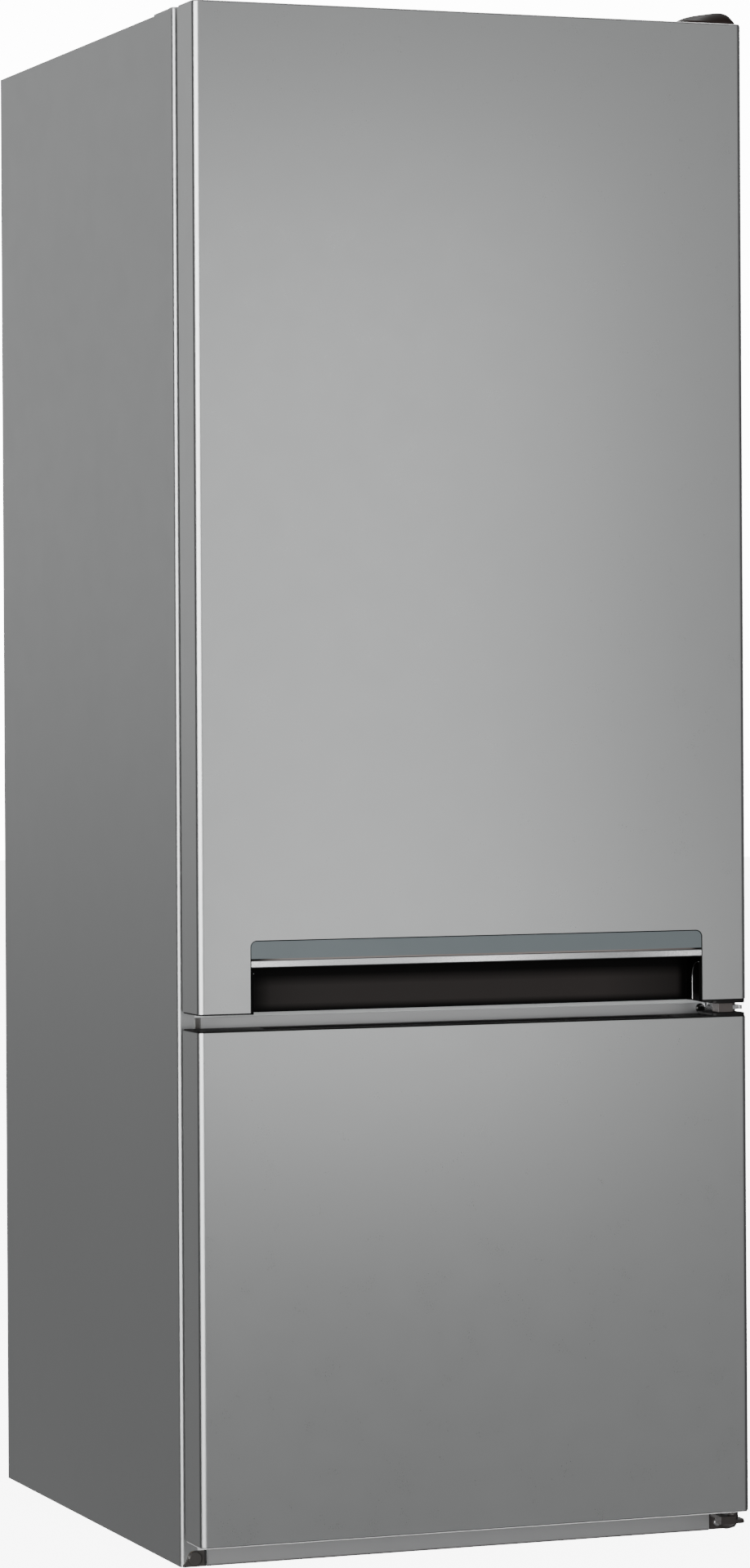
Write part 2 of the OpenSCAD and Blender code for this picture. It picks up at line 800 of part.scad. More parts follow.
module bottom_hinge() {
    color("#2c2a2b") difference() {
        union() {
            block([bottom_x0, cab_y - middle_flange_t, cab_z + sheet_t],
                  [arm_x1, cab_y, cab_z + bottom_flange_h]);
            along_z(bottom_arm_z, hinge_t)
                outline([bottom_x0, pin_y - arm_hw], [arm_x1, cab_y - over / 2],
                        [arm_hw / 2, arm_hw / 2, 0, 0]);
            along_x(arm_x1 - middle_flange_t, middle_flange_t) polygon([
                [cab_y - over / 2, cab_z + sheet_t],
                [cab_y - over / 2, bottom_arm_z + hinge_t / 2],
                [pin_y - arm_hw + arm_side, bottom_arm_z + hinge_t / 2],
                [pin_y - arm_hw + arm_side, bottom_arm_z + hinge_t / 4],
                [pin_y + arm_hw, bottom_arm_z - hinge_t / 2],
                [cab_y - gusset_d, cab_z + sheet_t + gusset_rise],
                [cab_y - gusset_d / 2, cab_z + sheet_t + gusset_rise / 4]
            ]);
            block([bush_x1 - bush_w, pin_y - arm_hw - arm_side, bottom_arm_z],
                  [bush_x1, pin_y - arm_hw - arm_side + bush_d, bottom_arm_z + bottom_bush_h]);
            translate([pin_x, pin_y, bottom_arm_z])
                cylinder(r = pin_r, h = lower_z0 + pin_depth - bottom_arm_z);
            translate([pin_x, pin_y, bottom_arm_z])
                cylinder(r = pin_r + arm_side, h = lower_z0 - bottom_arm_z - seat);
        }
        for (h = bottom_screw_hs)
            translate([bottom_x0 + screw_inset, cab_y + over, cab_z + h])
                rotate([90, 0, 0]) cylinder(r = screw_r + screw_clear, h = middle_flange_t + 2 * over);
    }
}

// Pan-head screw seated at the origin with its head towards +Z
screw_head_r = 4.2;
screw_head_h = 2.4;

module screw(grip) {
    translate([0, 0, -grip]) cylinder(r = screw_r, h = grip);
    rotate_extrude() outline([0, 0], [screw_head_r, screw_head_h], [0, 0, screw_head_h / 2, 0]);
}

module hinge_screws() {
    color("darkgray") {
        for (p = top_screws) translate([p[0], p[1], top_plate_z + hinge_t]) screw(hinge_t);
        for (h = bottom_screw_hs)
            translate([bottom_x0 + screw_inset, cab_y - middle_flange_t, cab_z + h])
                rotate([90, 0, 0]) screw(middle_flange_t);
    }
}

// Condenser

// Plane of the tube, its lowest row and the half length of its straight runs
tube_y = back_y + rear_recess / 2;
bend_r = tube_pitch / 2;
tube_z0 = recess_z + tube_pitch + bend_r;
tube_side = 30;
tube_hw = half_w - flange_w - bend_r - tube_side;

module condenser_tube() {
    color("#202020") translate([0, tube_y, tube_z0]) rotate([90, 0, 0])
        serpentine(tube_hw, tube_pitch, tube_rows, tube_r);
}

wire_gap = 0.05;
wire_count = floor(2 * tube_hw / wire_pitch);
wire_z0 = tube_z0 - tube_pitch / 2;
wire_z1 = tube_z0 + (tube_rows - 0.5) * tube_pitch;

module condenser_wires() {
    color("#303030") for (side = [-1, 1], k = [0 : wire_count])
        translate([(k - wire_count / 2) * wire_pitch, tube_y + side * (tube_r + wire_r + wire_gap), wire_z0])
            cylinder(r = wire_r, h = wire_z1 - wire_z0);
}

// Plastic posts that hold the tube away from the back panel
bracket_w = 9;
bracket_h = 20;
bracket_rows = [1, tube_rows - 2];
// Places of the posts from the outer wires, as a share of the wire pitch
bracket_share = 2.5;
post_x = (wire_count / 2 - bracket_share) * wire_pitch;

module condenser_brackets() {
    color("whitesmoke") both_sides() for (row = bracket_rows) difference() {
        along_y(back_y, tube_y + tube_r - back_y)
            even_outline([post_x - bracket_w / 2, tube_z0 + row * tube_pitch - bracket_h / 2],
                         [post_x + bracket_w / 2, tube_z0 + row * tube_pitch + bracket_h / 2],
                         over);
        translate([post_x - bracket_w, tube_y, tube_z0 + row * tube_pitch]) rotate([0, 90, 0])
            cylinder(r = tube_r + wire_gap, h = 2 * bracket_w);
        block([post_x - bracket_w, tube_y, tube_z0 + row * tube_pitch - tube_r - wire_gap],
              [post_x + bracket_w, tube_y + tube_r + over, tube_z0 + row * tube_pitch + tube_r + wire_gap]);
    }
}

module wall_spacers() {
    color("dimgray") both_sides() along_y(side_rear_y, spacer_t)
        even_outline([half_w - fold_r - spacer_w + sheet_t, cab_top - 2 * spacer_h],
                     [half_w - fold_r + sheet_t, cab_top - spacer_h], spacer_w / 3);
}

// Machine compartment

// Steel carrier across the rear, with ears for the rollers
carrier_t = 2.5;
carrier_lip = 12;
roller_side = 48;
roller_set = 42;
roller_x = half_w - roller_side;
roller_y = side_rear_y - roller_set;
roller_gap = 0.5;
ear_t = 2.5;
ear_w = 18;
ear_end = 5;
axle_r = 4;
ear_hx = roller_w / 2 + roller_gap;
slot_hy = roller_r + 3 * over;

module compressor_carrier() {
    top_z = cab_z + carrier_t;
    axle_hx = ear_hx + ear_t + over;
    color("#3a3a3c") union() {
        both_sides() translate([roller_x - axle_hx, roller_y, roller_r]) rotate([0, 90, 0])
            cylinder(r = axle_r, h = 2 * axle_hx);
        difference() {
            union() {
                block([-inner_hw, recess_y, cab_z], [inner_hw, side_rear_y - sheet_t, top_z]);
                block([-inner_hw, recess_y, cab_z], [inner_hw, recess_y + carrier_t, top_z + carrier_lip]);
                block([-inner_hw + flange_w, side_rear_y - sheet_t - carrier_t, cab_z],
                      [inner_hw - flange_w, side_rear_y - sheet_t, top_z + carrier_lip]);
                both_sides() for (side = [-1, 1])
                    along_x(roller_x + side * (ear_hx + ear_t / 2) - ear_t / 2, ear_t)
                        even_outline([roller_y - ear_w / 2, ear_end],
                                     [roller_y + ear_w / 2, top_z + carrier_lip], ear_w / 3);
            }
            both_sides() block([roller_x - ear_hx, roller_y - slot_hy, cab_z - over],
                               [roller_x + ear_hx, roller_y + slot_hy, top_z + over]);
        }
    }
}

roller_bore_clear = 0.1;

module rear_roller() {
    color("#2a2a2a") translate([roller_x - roller_w / 2, roller_y, roller_r]) rotate([0, 90, 0])
        difference() {
            rotate_extrude() outline([axle_r + roller_bore_clear, 0], [roller_r, roller_w],
                                     [0, arm_side, arm_side, 0]);
            for (a = [0 : 72 : 288]) rotate([0, 0, a]) translate([(axle_r + roller_r) / 2, 0, -over])
                cylinder(r = (roller_r - axle_r) / 5, h = roller_w + 2 * over);
        }
}

module rear_roller_left() {
    mirror([1, 0, 0]) rear_roller();
}

module rear_roller_right() {
    rear_roller();
}

// Foot pad, its hexagon and its stud
foot_pad_h = 6;
foot_hex_h = 5;
stud_top = cab_z + boss_h - 2 * over;

module front_foot() {
    color("#2a2a2a") translate([foot_x, foot_y, 0]) union() {
        rotate_extrude() outline([0, 0], [foot_r, foot_pad_h], [0, over / 2, over, 0]);
        cylinder(r = boss_r, h = foot_pad_h + foot_hex_h, $fn = 6);
        cylinder(r = stud_r, h = stud_top);
    }
}

module front_foot_left() {
    mirror([1, 0, 0]) front_foot();
}

module front_foot_right() {
    front_foot();
}

// Compressor on its rubber mounts
comp_side = 227.5;
comp_x = half_w - comp_side;
comp_y = (recess_y + back_y) / 2 + comp_r / 4;
mount_h = 14;
comp_z = cab_z + carrier_t + mount_h;
comp_foot_w = 196;
comp_foot_d = 120;
comp_foot_t = 3;
comp_sink = 8;
comp_top = comp_z - comp_sink + comp_h;
mount_r = 11;
mount_hole_r = 7;
mount_inset = 15;
// Radii of the shell's corners as shares of its radius, and the height of its belt as a share of its own
shell_r_shares = [0, 0.3, 0.45, 0];
belt_share = 0.45;
belt_w = 3;
belt_h = 6;
mount_xs = [comp_x - comp_foot_w / 2 + mount_inset, comp_x + comp_foot_w / 2 - mount_inset];
mount_ys = [comp_y - comp_foot_d / 2 + mount_inset, comp_y + comp_foot_d / 2 - mount_inset];

module compressor() {
    color("#1c1c1e") difference() {
        union() {
            translate([comp_x, comp_y, comp_z - comp_sink]) rotate_extrude()
                outline([0, 0], [comp_r, comp_h], comp_r * shell_r_shares);
            translate([comp_x, comp_y, comp_z + comp_h * belt_share])
                cylinder(r = comp_r + belt_w, h = belt_h);
            translate([comp_x, comp_y, comp_z]) linear_extrude(comp_foot_t)
                even_outline([-comp_foot_w / 2, -comp_foot_d / 2], [comp_foot_w / 2, comp_foot_d / 2],
                             mount_inset);
        }
        for (x = mount_xs, y = mount_ys) translate([x, y, comp_z - over])
            cylinder(r = mount_hole_r + seat, h = comp_foot_t + 2 * over);
    }
}

module compressor_mounts() {
    color("#262626") for (x = mount_xs, y = mount_ys) translate([x, y, comp_z - mount_h])
        rotate_extrude() {
            outline([0, 0], [mount_r, mount_h], [0, over, over, 0]);
            outline([0, 0], [mount_hole_r, mount_h + comp_foot_t + over], [0, 0, 0, 0]);
            translate([0, mount_h + comp_foot_t])
                outline([0, 0], [mount_hole_r + over, over], [0, 0, over / 2, 0]);
        }
}

// Cover of the terminals with the gland that the mains lead goes in by
terminal_w = 54;
terminal_d = 36;
terminal_h = 74;
gland_r = 8;
gland_bore_r = 4;
gland_h = 10;

module terminal_cover() {
    z0 = comp_z + terminal_h / 3;
    x1 = comp_x + comp_r + terminal_d;
    gland_x = x1 - gland_r - over;
    color("#232325") difference() {
        union() {
            along_z(z0, terminal_h)
                outline([comp_x + comp_r / 2, comp_y - terminal_w / 2], [x1, comp_y + terminal_w / 2],
                        [0, over * 2, over * 2, 0]);
            translate([gland_x, comp_y + terminal_w / 2, z0 + 2 * gland_r]) rotate([-90, 0, 0])
                cylinder(r = gland_r, h = gland_h);
        }
        translate([comp_x, comp_y, comp_z - over])
            cylinder(r = comp_r + belt_w + seat, h = comp_h);
        translate([gland_x, comp_y + terminal_w / 2 - over, z0 + 2 * gland_r]) rotate([-90, 0, 0])
            cylinder(r = gland_bore_r, h = gland_h + 2 * over);
    }
}

// Evaporation tray clipped over the compressor, and the spout that drains into it
tray_h = 26;
tray_wall = 2;
tray_side = 21.5;
tray_x0 = comp_x - comp_r - tray_side;
tray_x1 = comp_x + comp_r + tray_side;
tray_y0 = recess_y + 2 * carrier_lip;
tray_y1 = back_y;
spout_x = comp_x;
spout_y = comp_y;

module evaporation_tray() {
    color("#303032") translate([0, 0, comp_top + seat])
        tub([tray_x0, tray_y0], [tray_x1, tray_y1], tray_h, 5 * tray_wall, tray_wall);
}

module drain_spout() {
    spout_z0 = comp_top + seat + 2 * tray_wall;
    color("whitesmoke") difference() {
        union() {
            translate([spout_x, spout_y, spout_z0])
                cylinder(r = drain_r + tray_wall, h = recess_z - base_t - spout_z0);
            translate([spout_x, spout_y, recess_z - base_t - tray_wall])
                cylinder(r = 3 * drain_r, h = tray_wall);
        }
        translate([spout_x, spout_y, spout_z0 - over]) cylinder(r = drain_r, h = recess_z - spout_z0);
    }
}

// Filter drier in the line from the condenser, and the lines in the machine compartment
drier_r = 8;
drier_h = 80;
drier_neck_h = 12;
drier_drop = 35;
drier_top_z = tube_z0 - drier_drop;
drier_body_z = drier_top_z - drier_neck_h - drier_h;
line_bend_r = 18;
cap_bend_r = 14;
cap_drop = 6;
cap_reach = 35;
line_side = 12;
suction_r = 4;
cap_r = 1.5;
top_row_z = tube_z0 + (tube_rows - 1) * tube_pitch;
drier_x = -tube_hw - line_bend_r;
// Heights of the lines on the compressor as shares of its height
discharge_share = 0.22;
suction_share = 0.36;

module filter_drier() {
    color("peru") translate([drier_x, tube_y, drier_body_z]) rotate_extrude() polygon([
        [0, -drier_neck_h],
        [tube_r, -drier_neck_h],
        [drier_r, 0],
        [drier_r, drier_h],
        [tube_r, drier_h + drier_neck_h],
        [0, drier_h + drier_neck_h]
    ]);
}

module refrigerant_pipes() {
    discharge_z = comp_z + comp_h * discharge_share;
    suction_z = comp_z + comp_h * suction_share;
    shell_x = comp_x - comp_r;
    feed_x = tube_hw + bend_r + line_side;
    suction_x = tray_x0 - 2 * suction_r;
    ceiling_z = recess_z - base_t;
    color("darkgoldenrod") {
        // From the compressor to the left, to the plane of the condenser and up to its top row
        translate([shell_x, comp_y, discharge_z]) rotate([0, -90, 0]) pipe(tube_r, [
            [shell_x + feed_x - line_bend_r, line_bend_r, 90, 90],
            [tube_y - comp_y - 2 * line_bend_r, line_bend_r, 90, -90],
            [top_row_z - discharge_z - 2 * line_bend_r, line_bend_r, 90, 90],
            [feed_x - tube_hw - line_bend_r, 0, 0, 0]
        ]);
        // From the lowest row down to the drier
        translate([-tube_hw, tube_y, tube_z0]) rotate([0, -90, 0]) pipe(tube_r, [
            [0, line_bend_r, 90, 180],
            [tube_z0 - line_bend_r - drier_top_z, 0, 0, 0]
        ]);
        // From the drier to the ceiling of the compartment
        translate([drier_x, tube_y, drier_body_z - drier_neck_h]) rotate([180, 0, 0]) pipe(cap_r, [
            [cap_drop, cap_bend_r, 90, 90],
            [cap_reach, cap_bend_r, 90, 0],
            [ceiling_z - drier_body_z + drier_neck_h + cap_drop, 0, 0, 0]
        ]);
        // From the ceiling back to the compressor
        translate([shell_x, comp_y, suction_z]) rotate([0, -90, 0]) pipe(suction_r, [
            [shell_x - suction_x - line_bend_r, line_bend_r, 90, 0],
            [ceiling_z - suction_z - line_bend_r, 0, 0, 0]
        ]);
    }
}

// Fridge interior

// Control housing under the roof
control_set_back = 46;
control_y0 = cab_y + control_set_back;
control_d = 190;
control_flat = 100;
knob_d = 13;
knob_shaft_r = 3;
knob_clear = 0.1;
knob_x = -control_w / 4;
knob_z = fridge_z1 - control_h / 2;
lamp_w = 90;
lamp_d = 70;
lamp_h = 11;

// Shape of the control housing, moved in by the inset but open to the roof
module control_shape(inset) {
    top_z = fridge_z1 + (inset > 0 ? over : 0);
    intersection() {
        along_x(-control_w / 2 + inset, control_w - 2 * inset) polygon([
            [control_y0 + inset, fridge_z1 - control_h + inset],
            [control_y0 + control_flat, fridge_z1 - control_h + inset],
            [control_y0 + control_d - inset, fridge_z1 - control_h / 4 + inset],
            [control_y0 + control_d - inset, top_z],
            [control_y0 + inset, top_z]
        ]);
        along_y(control_y0 - over, control_d + 2 * over)
            outline([-control_w / 2 + inset, fridge_z1 - control_h + inset],
                    [control_w / 2 - inset, top_z], [door_r - inset, door_r - inset, 0, 0]);
    }
}

module control_housing() {
    color("whitesmoke") difference() {
        union() {
            difference() {
                control_shape(0);
                control_shape(drawer_wall);
            }
            translate([knob_x, control_y0 + knob_d + over, knob_z]) rotate([90, 0, 0])
                cylinder(r = knob_shaft_r + over, h = knob_d);
        }
        translate([knob_x, control_y0 + knob_d, knob_z]) rotate([90, 0, 0])
            cylinder(r = knob_shaft_r + knob_clear, h = knob_d + over);
    }
}

module lamp_cover() {
    color("white", 0.6) translate([control_w / 4, control_y0 + door_r, fridge_z1 - control_h - lamp_h])
        tub([-lamp_w / 2, 0], [lamp_w / 2, lamp_d], lamp_h, door_r, drawer_wall);
}

knob_grip_w = 6;

module thermostat_knob() {
    color("lightgray") translate([knob_x, control_y0 - seat, knob_z]) rotate([90, 0, 0]) union() {
        rotate_extrude() outline([0, 0], [knob_r, knob_d / 2], [0, 0, over / 2, 0]);
        along_z(knob_d / 2, knob_d / 2)
            even_outline([-knob_grip_w / 2, -knob_r + over], [knob_grip_w / 2, knob_r - over], over);
        translate([0, 0, -knob_d + over]) cylinder(r = knob_shaft_r, h = knob_d);
    }
}

// The three glass shelves on their ledges
module glass_shelves() {
    color("lightcyan", 0.5) for (z = shelf_zs)
        block([-fridge_hw + glass_gap, shelf_y0 + glass_gap, z],
              [fridge_hw - glass_gap, shelf_y1, z + glass_t]);
}

trim_d = 11;
trim_lap = 8;

module shelf_trims() {
    color("white") for (z = shelf_zs) difference() {
        along_x(-fridge_hw + glass_gap, 2 * (fridge_hw - glass_gap))
            outline([shelf_y0, z - trim_h / 3], [shelf_y0 + trim_d, z - trim_h / 3 + trim_h],
                    [trim_h / 4, 0, 0, trim_h / 4]);
        block([-fridge_hw, shelf_y0 + glass_gap, z], [fridge_hw, shelf_y0 + trim_d + over, z + glass_t]);
        block([-fridge_hw, shelf_y0 + trim_lap, z - trim_h], [fridge_hw, shelf_y0 + trim_d + over, z]);
    }
}

module crisper_cover() {
    color("lightcyan", 0.5)
        block([-fridge_hw + glass_gap, shelf_y0 + glass_gap, shoulder_z],
              [fridge_hw - glass_gap, fridge_back_y - glass_gap, shoulder_z + glass_t]);
}

// Open-top drawer: a rounded tub with a thicker front plate that has a finger notch
drawer_r = 14;
drawer_front_t = 5;
notch_w = 130;
notch_h = 24;

module drawer(hw, y0, y1, z0, h, front_hw) {
    difference() {
        union() {
            along_z(z0, h - notch_h / 2)
                outline([-hw, y0 + over], [hw, y1], [0, 0, drawer_r, drawer_r]);
            along_y(y0, drawer_front_t)
                outline([-front_hw, z0], [front_hw, z0 + h], [over, over, door_r, door_r]);
        }
        along_z(z0 + drawer_wall, h)
            outline([-hw + drawer_wall, y0 + drawer_front_t], [hw - drawer_wall, y1 - drawer_wall],
                    [door_r, door_r, drawer_r - drawer_wall, drawer_r - drawer_wall]);
        along_y(y0 - over, drawer_front_t + 2 * over)
            outline([-notch_w / 2, z0 + h - notch_h], [notch_w / 2, z0 + h + over],
                    [notch_h / 2, notch_h / 2, 0, 0]);
    }
}

module crisper_drawer() {
    color("aliceblue", 0.6)
        drawer(crisper_hw, crisper_y0, crisper_y1, fridge_z0 + seat, crisper_h, crisper_hw);
}

// Freezer interior

drawer_y0 = front_y + drawer_set_back;
drawer_hw = freezer_hw - drawer_side_gap;

module freezer_drawer_upper() {
    color("aliceblue", 0.6)
        drawer(drawer_hw - over, drawer_y0, freezer_back_y - 4 * over, lower_plate_z + plate_t + seat,
               upper_drawer_h, drawer_hw);
}

module freezer_drawer_lower() {
    color("aliceblue", 0.6)
        drawer(drawer_hw - over, drawer_y0, step_y - 2 * over, freezer_z0 + seat, lower_drawer_h, drawer_hw);
}

// Plate with a serpentine tube fused under it
evap_pitch = 44;

module evaporator_shelf(z0, y0, y1) {
    rows = floor((y1 - y0) / evap_pitch);
    block([-freezer_hw + over / 2, y0, z0], [freezer_hw - over / 2, y1, z0 + plate_t]);
    translate([0, y0 + evap_pitch / 2, z0 - evap_tube_r + plate_t / 2])
        serpentine(drawer_hw - evap_pitch, evap_pitch, rows, evap_tube_r);
}

module freezer_shelves() {
    color("silver") {
        evaporator_shelf(lower_plate_z, drawer_y0 + drawer_front_t + over, freezer_back_y - over);
        evaporator_shelf(upper_plate_z, drawer_y0 + drawer_front_t + over, freezer_back_y - over);
    }
}

// Doors

// Plan of a door, moved in by the inset, and further in at the rear, where it may be rounded
module door_plan(inset, rear_inset, rear_r) {
    outline([-half_w + inset, front_y + inset], [half_w - inset, door_back_y - rear_inset],
            [door_r - inset, door_r - inset, rear_r, rear_r]);
}

// Solid outline of a door from z0 to z1
module door_solid(z0, z1) {
    intersection() {
        along_z(z0, z1 - z0) door_plan(0, 0, door_rear_r);
        along_x(-half_w, total_w)
            outline([front_y, z0], [door_back_y, z1], [0, door_end_r, door_end_r, 0]);
    }
}

// Sheet skin of a door, open at its ends and, between the folded edges, at the back
module door_skin(z0, z1) {
    difference() {
        door_solid(z0 + cap_lip_h, z1 - cap_lip_h);
        along_z(z0, z1 - z0) door_plan(sheet_t, sheet_t, door_rear_r - sheet_t);
        block([-half_w + door_return_w, door_back_y - 2 * sheet_t, z0],
              [half_w - door_return_w, door_back_y + over, z1]);
    }
}

// End cap of a door: a lip over the sheet edge and a plug inside it
module door_cap(z0, z1, at_top) {
    lip_z0 = at_top ? z1 - cap_lip_h : z0;
    plug_z0 = at_top ? z1 - cap_plug_h : z0 + cap_lip_h / 2;
    intersection() {
        union() {
            along_z(lip_z0, cap_lip_h)
                door_plan(cap_inset, cap_inset, door_rear_r - cap_inset);
            along_z(plug_z0, cap_plug_h - cap_lip_h / 2)
                door_plan(sheet_t, liner_t + sheet_t, 0);
        }
        door_solid(z0, z1);
    }
}

// Bore for a hinge pin, upwards from z
module pin_bore(z) {
    translate([pin_x, pin_y, z]) cylinder(r = pin_r + pin_clear, h = pin_depth + seat + over);
}

// Raised rim of a door liner in front view, moved in by the inset
module rim_outline(hw, z0, z1, inset) {
    difference() {
        even_outline([-hw + inset, z0 + inset], [hw - inset, z1 - inset], liner_r - inset);
        even_outline([-hw + rim_w - inset, z0 + rim_w - inset], [hw - rim_w + inset, z1 - rim_w + inset],
                     liner_r / 2 + inset);
    }
}

// Liner of a door: a plate in the opening of the skin and a hollow raised rim
module door_liner(z0, z1, hw, rim_z0, rim_z1, rim_h) {
    difference() {
        union() {
            block([-half_w + door_return_w, door_back_y - liner_t, z0 + door_end_r],
                  [half_w - door_return_w, door_back_y, z1 - door_end_r]);
            along_y(door_back_y - liner_t, liner_t + rim_h) rim_outline(hw, rim_z0, rim_z1, 0);
        }
        along_y(door_back_y - liner_t - over, over + rim_h) rim_outline(hw, rim_z0, rim_z1, liner_t);
    }
}

// Slab of foam inside the skin and between the caps of a door
module foam_slab(z0, z1) {
    along_z(z0 + cap_plug_h, z1 - z0 - 2 * cap_plug_h)
        door_plan(sheet_t, 2 * sheet_t, door_rear_r - sheet_t);
}

// Frame-shaped gasket: a narrow neck on the door and a wide bellows towards the cabinet
module frame_ring(z0, z1, inset, width) {
    difference() {
        even_outline([-half_w + inset, z0 + inset], [half_w - inset, z1 - inset], door_r);
        even_outline([-half_w + inset + width, z0 + inset + width],
                     [half_w - inset - width, z1 - inset - width], door_r / 2);
    }
}

module door_gasket(z0, z1) {
    neck_inset = gasket_inset + (gasket_w - gasket_neck_w) / 2;
    union() {
        along_y(door_back_y, gasket_neck_t + over / 2) frame_ring(z0, z1, neck_inset, gasket_neck_w);
        along_y(door_back_y + gasket_neck_t, gasket_gap - gasket_neck_t - seat)
            frame_ring(z0, z1, gasket_inset, gasket_w);
    }
}

// Upper door

upper_rim_hw = fridge_hw - rim_gap;
upper_rim_z0 = fridge_z0 + rim_gap;
upper_rim_z1 = fridge_z1 - rim_gap;
handle_z1 = upper_z0 + handle_h;
handle_x0 = -half_w + handle_side;
handle_x1 = half_w - handle_hinge_side;

// Front view of the handle recess
module handle_outline(inset) {
    outline([handle_x0 + inset, upper_z0 - over], [handle_x1 - inset, handle_z1 - inset],
            [0, 0, handle_r - inset, handle_r - inset]);
}

module upper_door_skin() {
    color("silver") difference() {
        door_skin(upper_z0, upper_z1);
        along_y(front_y - over, sheet_t + 2 * over) handle_outline(0);
    }
}

module upper_door_top_cap() {
    color("gainsboro") difference() {
        door_cap(upper_z0, upper_z1, true);
        pin_bore(upper_z1 - pin_depth - seat);
    }
}

module upper_door_bottom_cap() {
    color("#242222") difference() {
        door_cap(upper_z0, upper_z1, false);
        pin_bore(upper_z0 - over);
        block([handle_x0, front_y - over, upper_z0 - over],
              [handle_x1, front_y + pocket_d, upper_z0 + cap_plug_h + over]);
    }
}

module upper_door_foam() {
    color("khaki") union() {
        difference() {
            foam_slab(upper_z0, upper_z1);
            block([handle_x0, front_y + sheet_t, upper_z0 - over],
                  [handle_x1, front_y + pocket_d, handle_z1]);
        }
        along_y(door_back_y - 2 * sheet_t - over, 2 * sheet_t + over + upper_rim_h - liner_t)
            rim_outline(upper_rim_hw, upper_rim_z0, upper_rim_z1, liner_t);
    }
}

// Lugs on the rim that the balconies stand on
lug_w = 8;
lug_h = 9;
lug_d = 24;
bottle_z = upper_rim_z0 + rim_w + seat;
balcony_span = upper_rim_z1 - rim_w - bottle_z;
// Places of the two small balconies as shares of the liner's height
balcony_shares = [0.42, 0.76];
balcony_zs = [for (s = balcony_shares) bottle_z + s * balcony_span];
balcony_hw = upper_rim_hw - rim_w - seat;

module upper_door_liner() {
    color("white") union() {
        door_liner(upper_z0, upper_z1, upper_rim_hw, upper_rim_z0, upper_rim_z1, upper_rim_h);
        both_sides() for (z = balcony_zs)
            block([balcony_hw + seat - lug_w, door_back_y - liner_t, z - seat - lug_h],
                  [balcony_hw + seat + liner_t / 2, door_back_y + lug_d, z - seat]);
    }
}

module upper_door_gasket() {
    color("gray") door_gasket(upper_z0, upper_z1);
}

// Band and strip across the handle recess, on the front beam of the pocket
panel_z0 = handle_z1 - handle_groove - handle_panel_h;
strip_gap = 1.4;
strip_z1 = panel_z0 - strip_gap;
strip_z0 = strip_z1 - strip_h;
beam_t = 3;
panel_x0 = handle_x0 + handle_groove;
panel_x1 = handle_x1 - handle_groove;

module panel_outline() {
    outline([panel_x0, panel_z0], [panel_x1, handle_z1 - handle_groove],
            [0, 0, handle_r - handle_groove, handle_r - handle_groove]);
}

module handle_panel() {
    color("slategray") along_y(front_y + cap_inset / 2, handle_panel_t) panel_outline();
}

module handle_strip() {
    color("white") along_x(panel_x0, panel_x1 - panel_x0)
        outline([front_y, strip_z0], [front_y + cap_inset / 2 + handle_panel_t, strip_z1],
                [strip_h / 6, 0, 0, strip_h / 6]);
}

// Side cheek of the pocket, with a rim that curves up to the strip
cheek_t = 1.5;
cheek_d = 17;
cheek_r = 15;
cheek_drop = 5;

module handle_pocket() {
    beam_y = front_y + cap_inset / 2 + handle_panel_t;
    color("#141213") union() {
        difference() {
            union() {
                block([handle_x0, beam_y, upper_z0], [handle_x1, front_y + pocket_d, handle_z1]);
                along_y(front_y + sheet_t, beam_y - front_y) intersection() {
                    handle_outline(0);
                    translate([-half_w, upper_z0]) square([total_w, handle_h]);
                }
            }
            // Finger space behind the beam, and the mouth below the strip
            block([handle_x0 + pocket_wall, beam_y + beam_t, upper_z0 - over],
                  [handle_x1 - pocket_wall, front_y + pocket_d - pocket_wall, handle_z1 - pocket_wall]);
            block([handle_x0 + pocket_wall, front_y - over, upper_z0 - over],
                  [handle_x1 - pocket_wall, beam_y + beam_t + over, strip_z0]);
            // Seats of the panel and the strip
            along_y(front_y - over, beam_y - front_y + over)
                panel_outline();
            block([panel_x0, front_y - over, strip_z0], [panel_x1, beam_y, strip_z1]);
        }
        for (x = [handle_x0 + pocket_wall - over, handle_x1 - pocket_wall - cheek_t])
            along_x(x, cheek_t + over)
                outline([front_y + sheet_t, upper_z0], [front_y + cheek_d, strip_z0 - cheek_drop],
                        [0, 0, cheek_r, 0]);
    }
}

// Body of a balcony, moved in by the inset: round in plan, and below like the corners of the rim
module balcony_body(z0, h, d, inset) {
    y0 = door_back_y + seat + inset;
    y1 = door_back_y + d - inset;
    r = d / 4 - inset;
    low_r = liner_r / 2 - inset;
    intersection() {
        along_z(z0, h)
            outline([-balcony_hw + inset, y0], [balcony_hw - inset, y1], [0, 0, r, r]);
        along_y(y0, y1 - y0)
            outline([-balcony_hw + inset, z0], [balcony_hw - inset, z0 + h], [low_r, low_r, 0, 0]);
    }
}

// Balcony on the upper door: an open tub, low at the rear
module balcony(z0, h, d) {
    difference() {
        balcony_body(z0, h, d, 0);
        balcony_body(z0 + balcony_wall, h, d, balcony_wall);
        block([-balcony_hw + 2 * rim_w, door_back_y - over, z0 + h / 2],
              [balcony_hw - 2 * rim_w, door_back_y + seat + balcony_wall + over, z0 + h + over]);
    }
}

module small_balconies() {
    color("whitesmoke", 0.8) for (z = balcony_zs) balcony(z, balcony_h, balcony_d);
}

module bottle_balcony() {
    color("whitesmoke", 0.8) balcony(bottle_z, bottle_h, bottle_d);
}

// Lower door

lower_rim_hw = freezer_hw - rim_gap;
lower_rim_z0 = freezer_z0 + rim_gap;
lower_rim_z1 = freezer_z1 - rim_gap;
// Finger trough in its upper edge
trough_hw = (handle_x1 - handle_x0) / 2 - rim_w;
trough_wall = 12;
trough_y0 = front_y + trough_wall;
trough_y1 = front_y + pocket_d;
trough_h = 9;

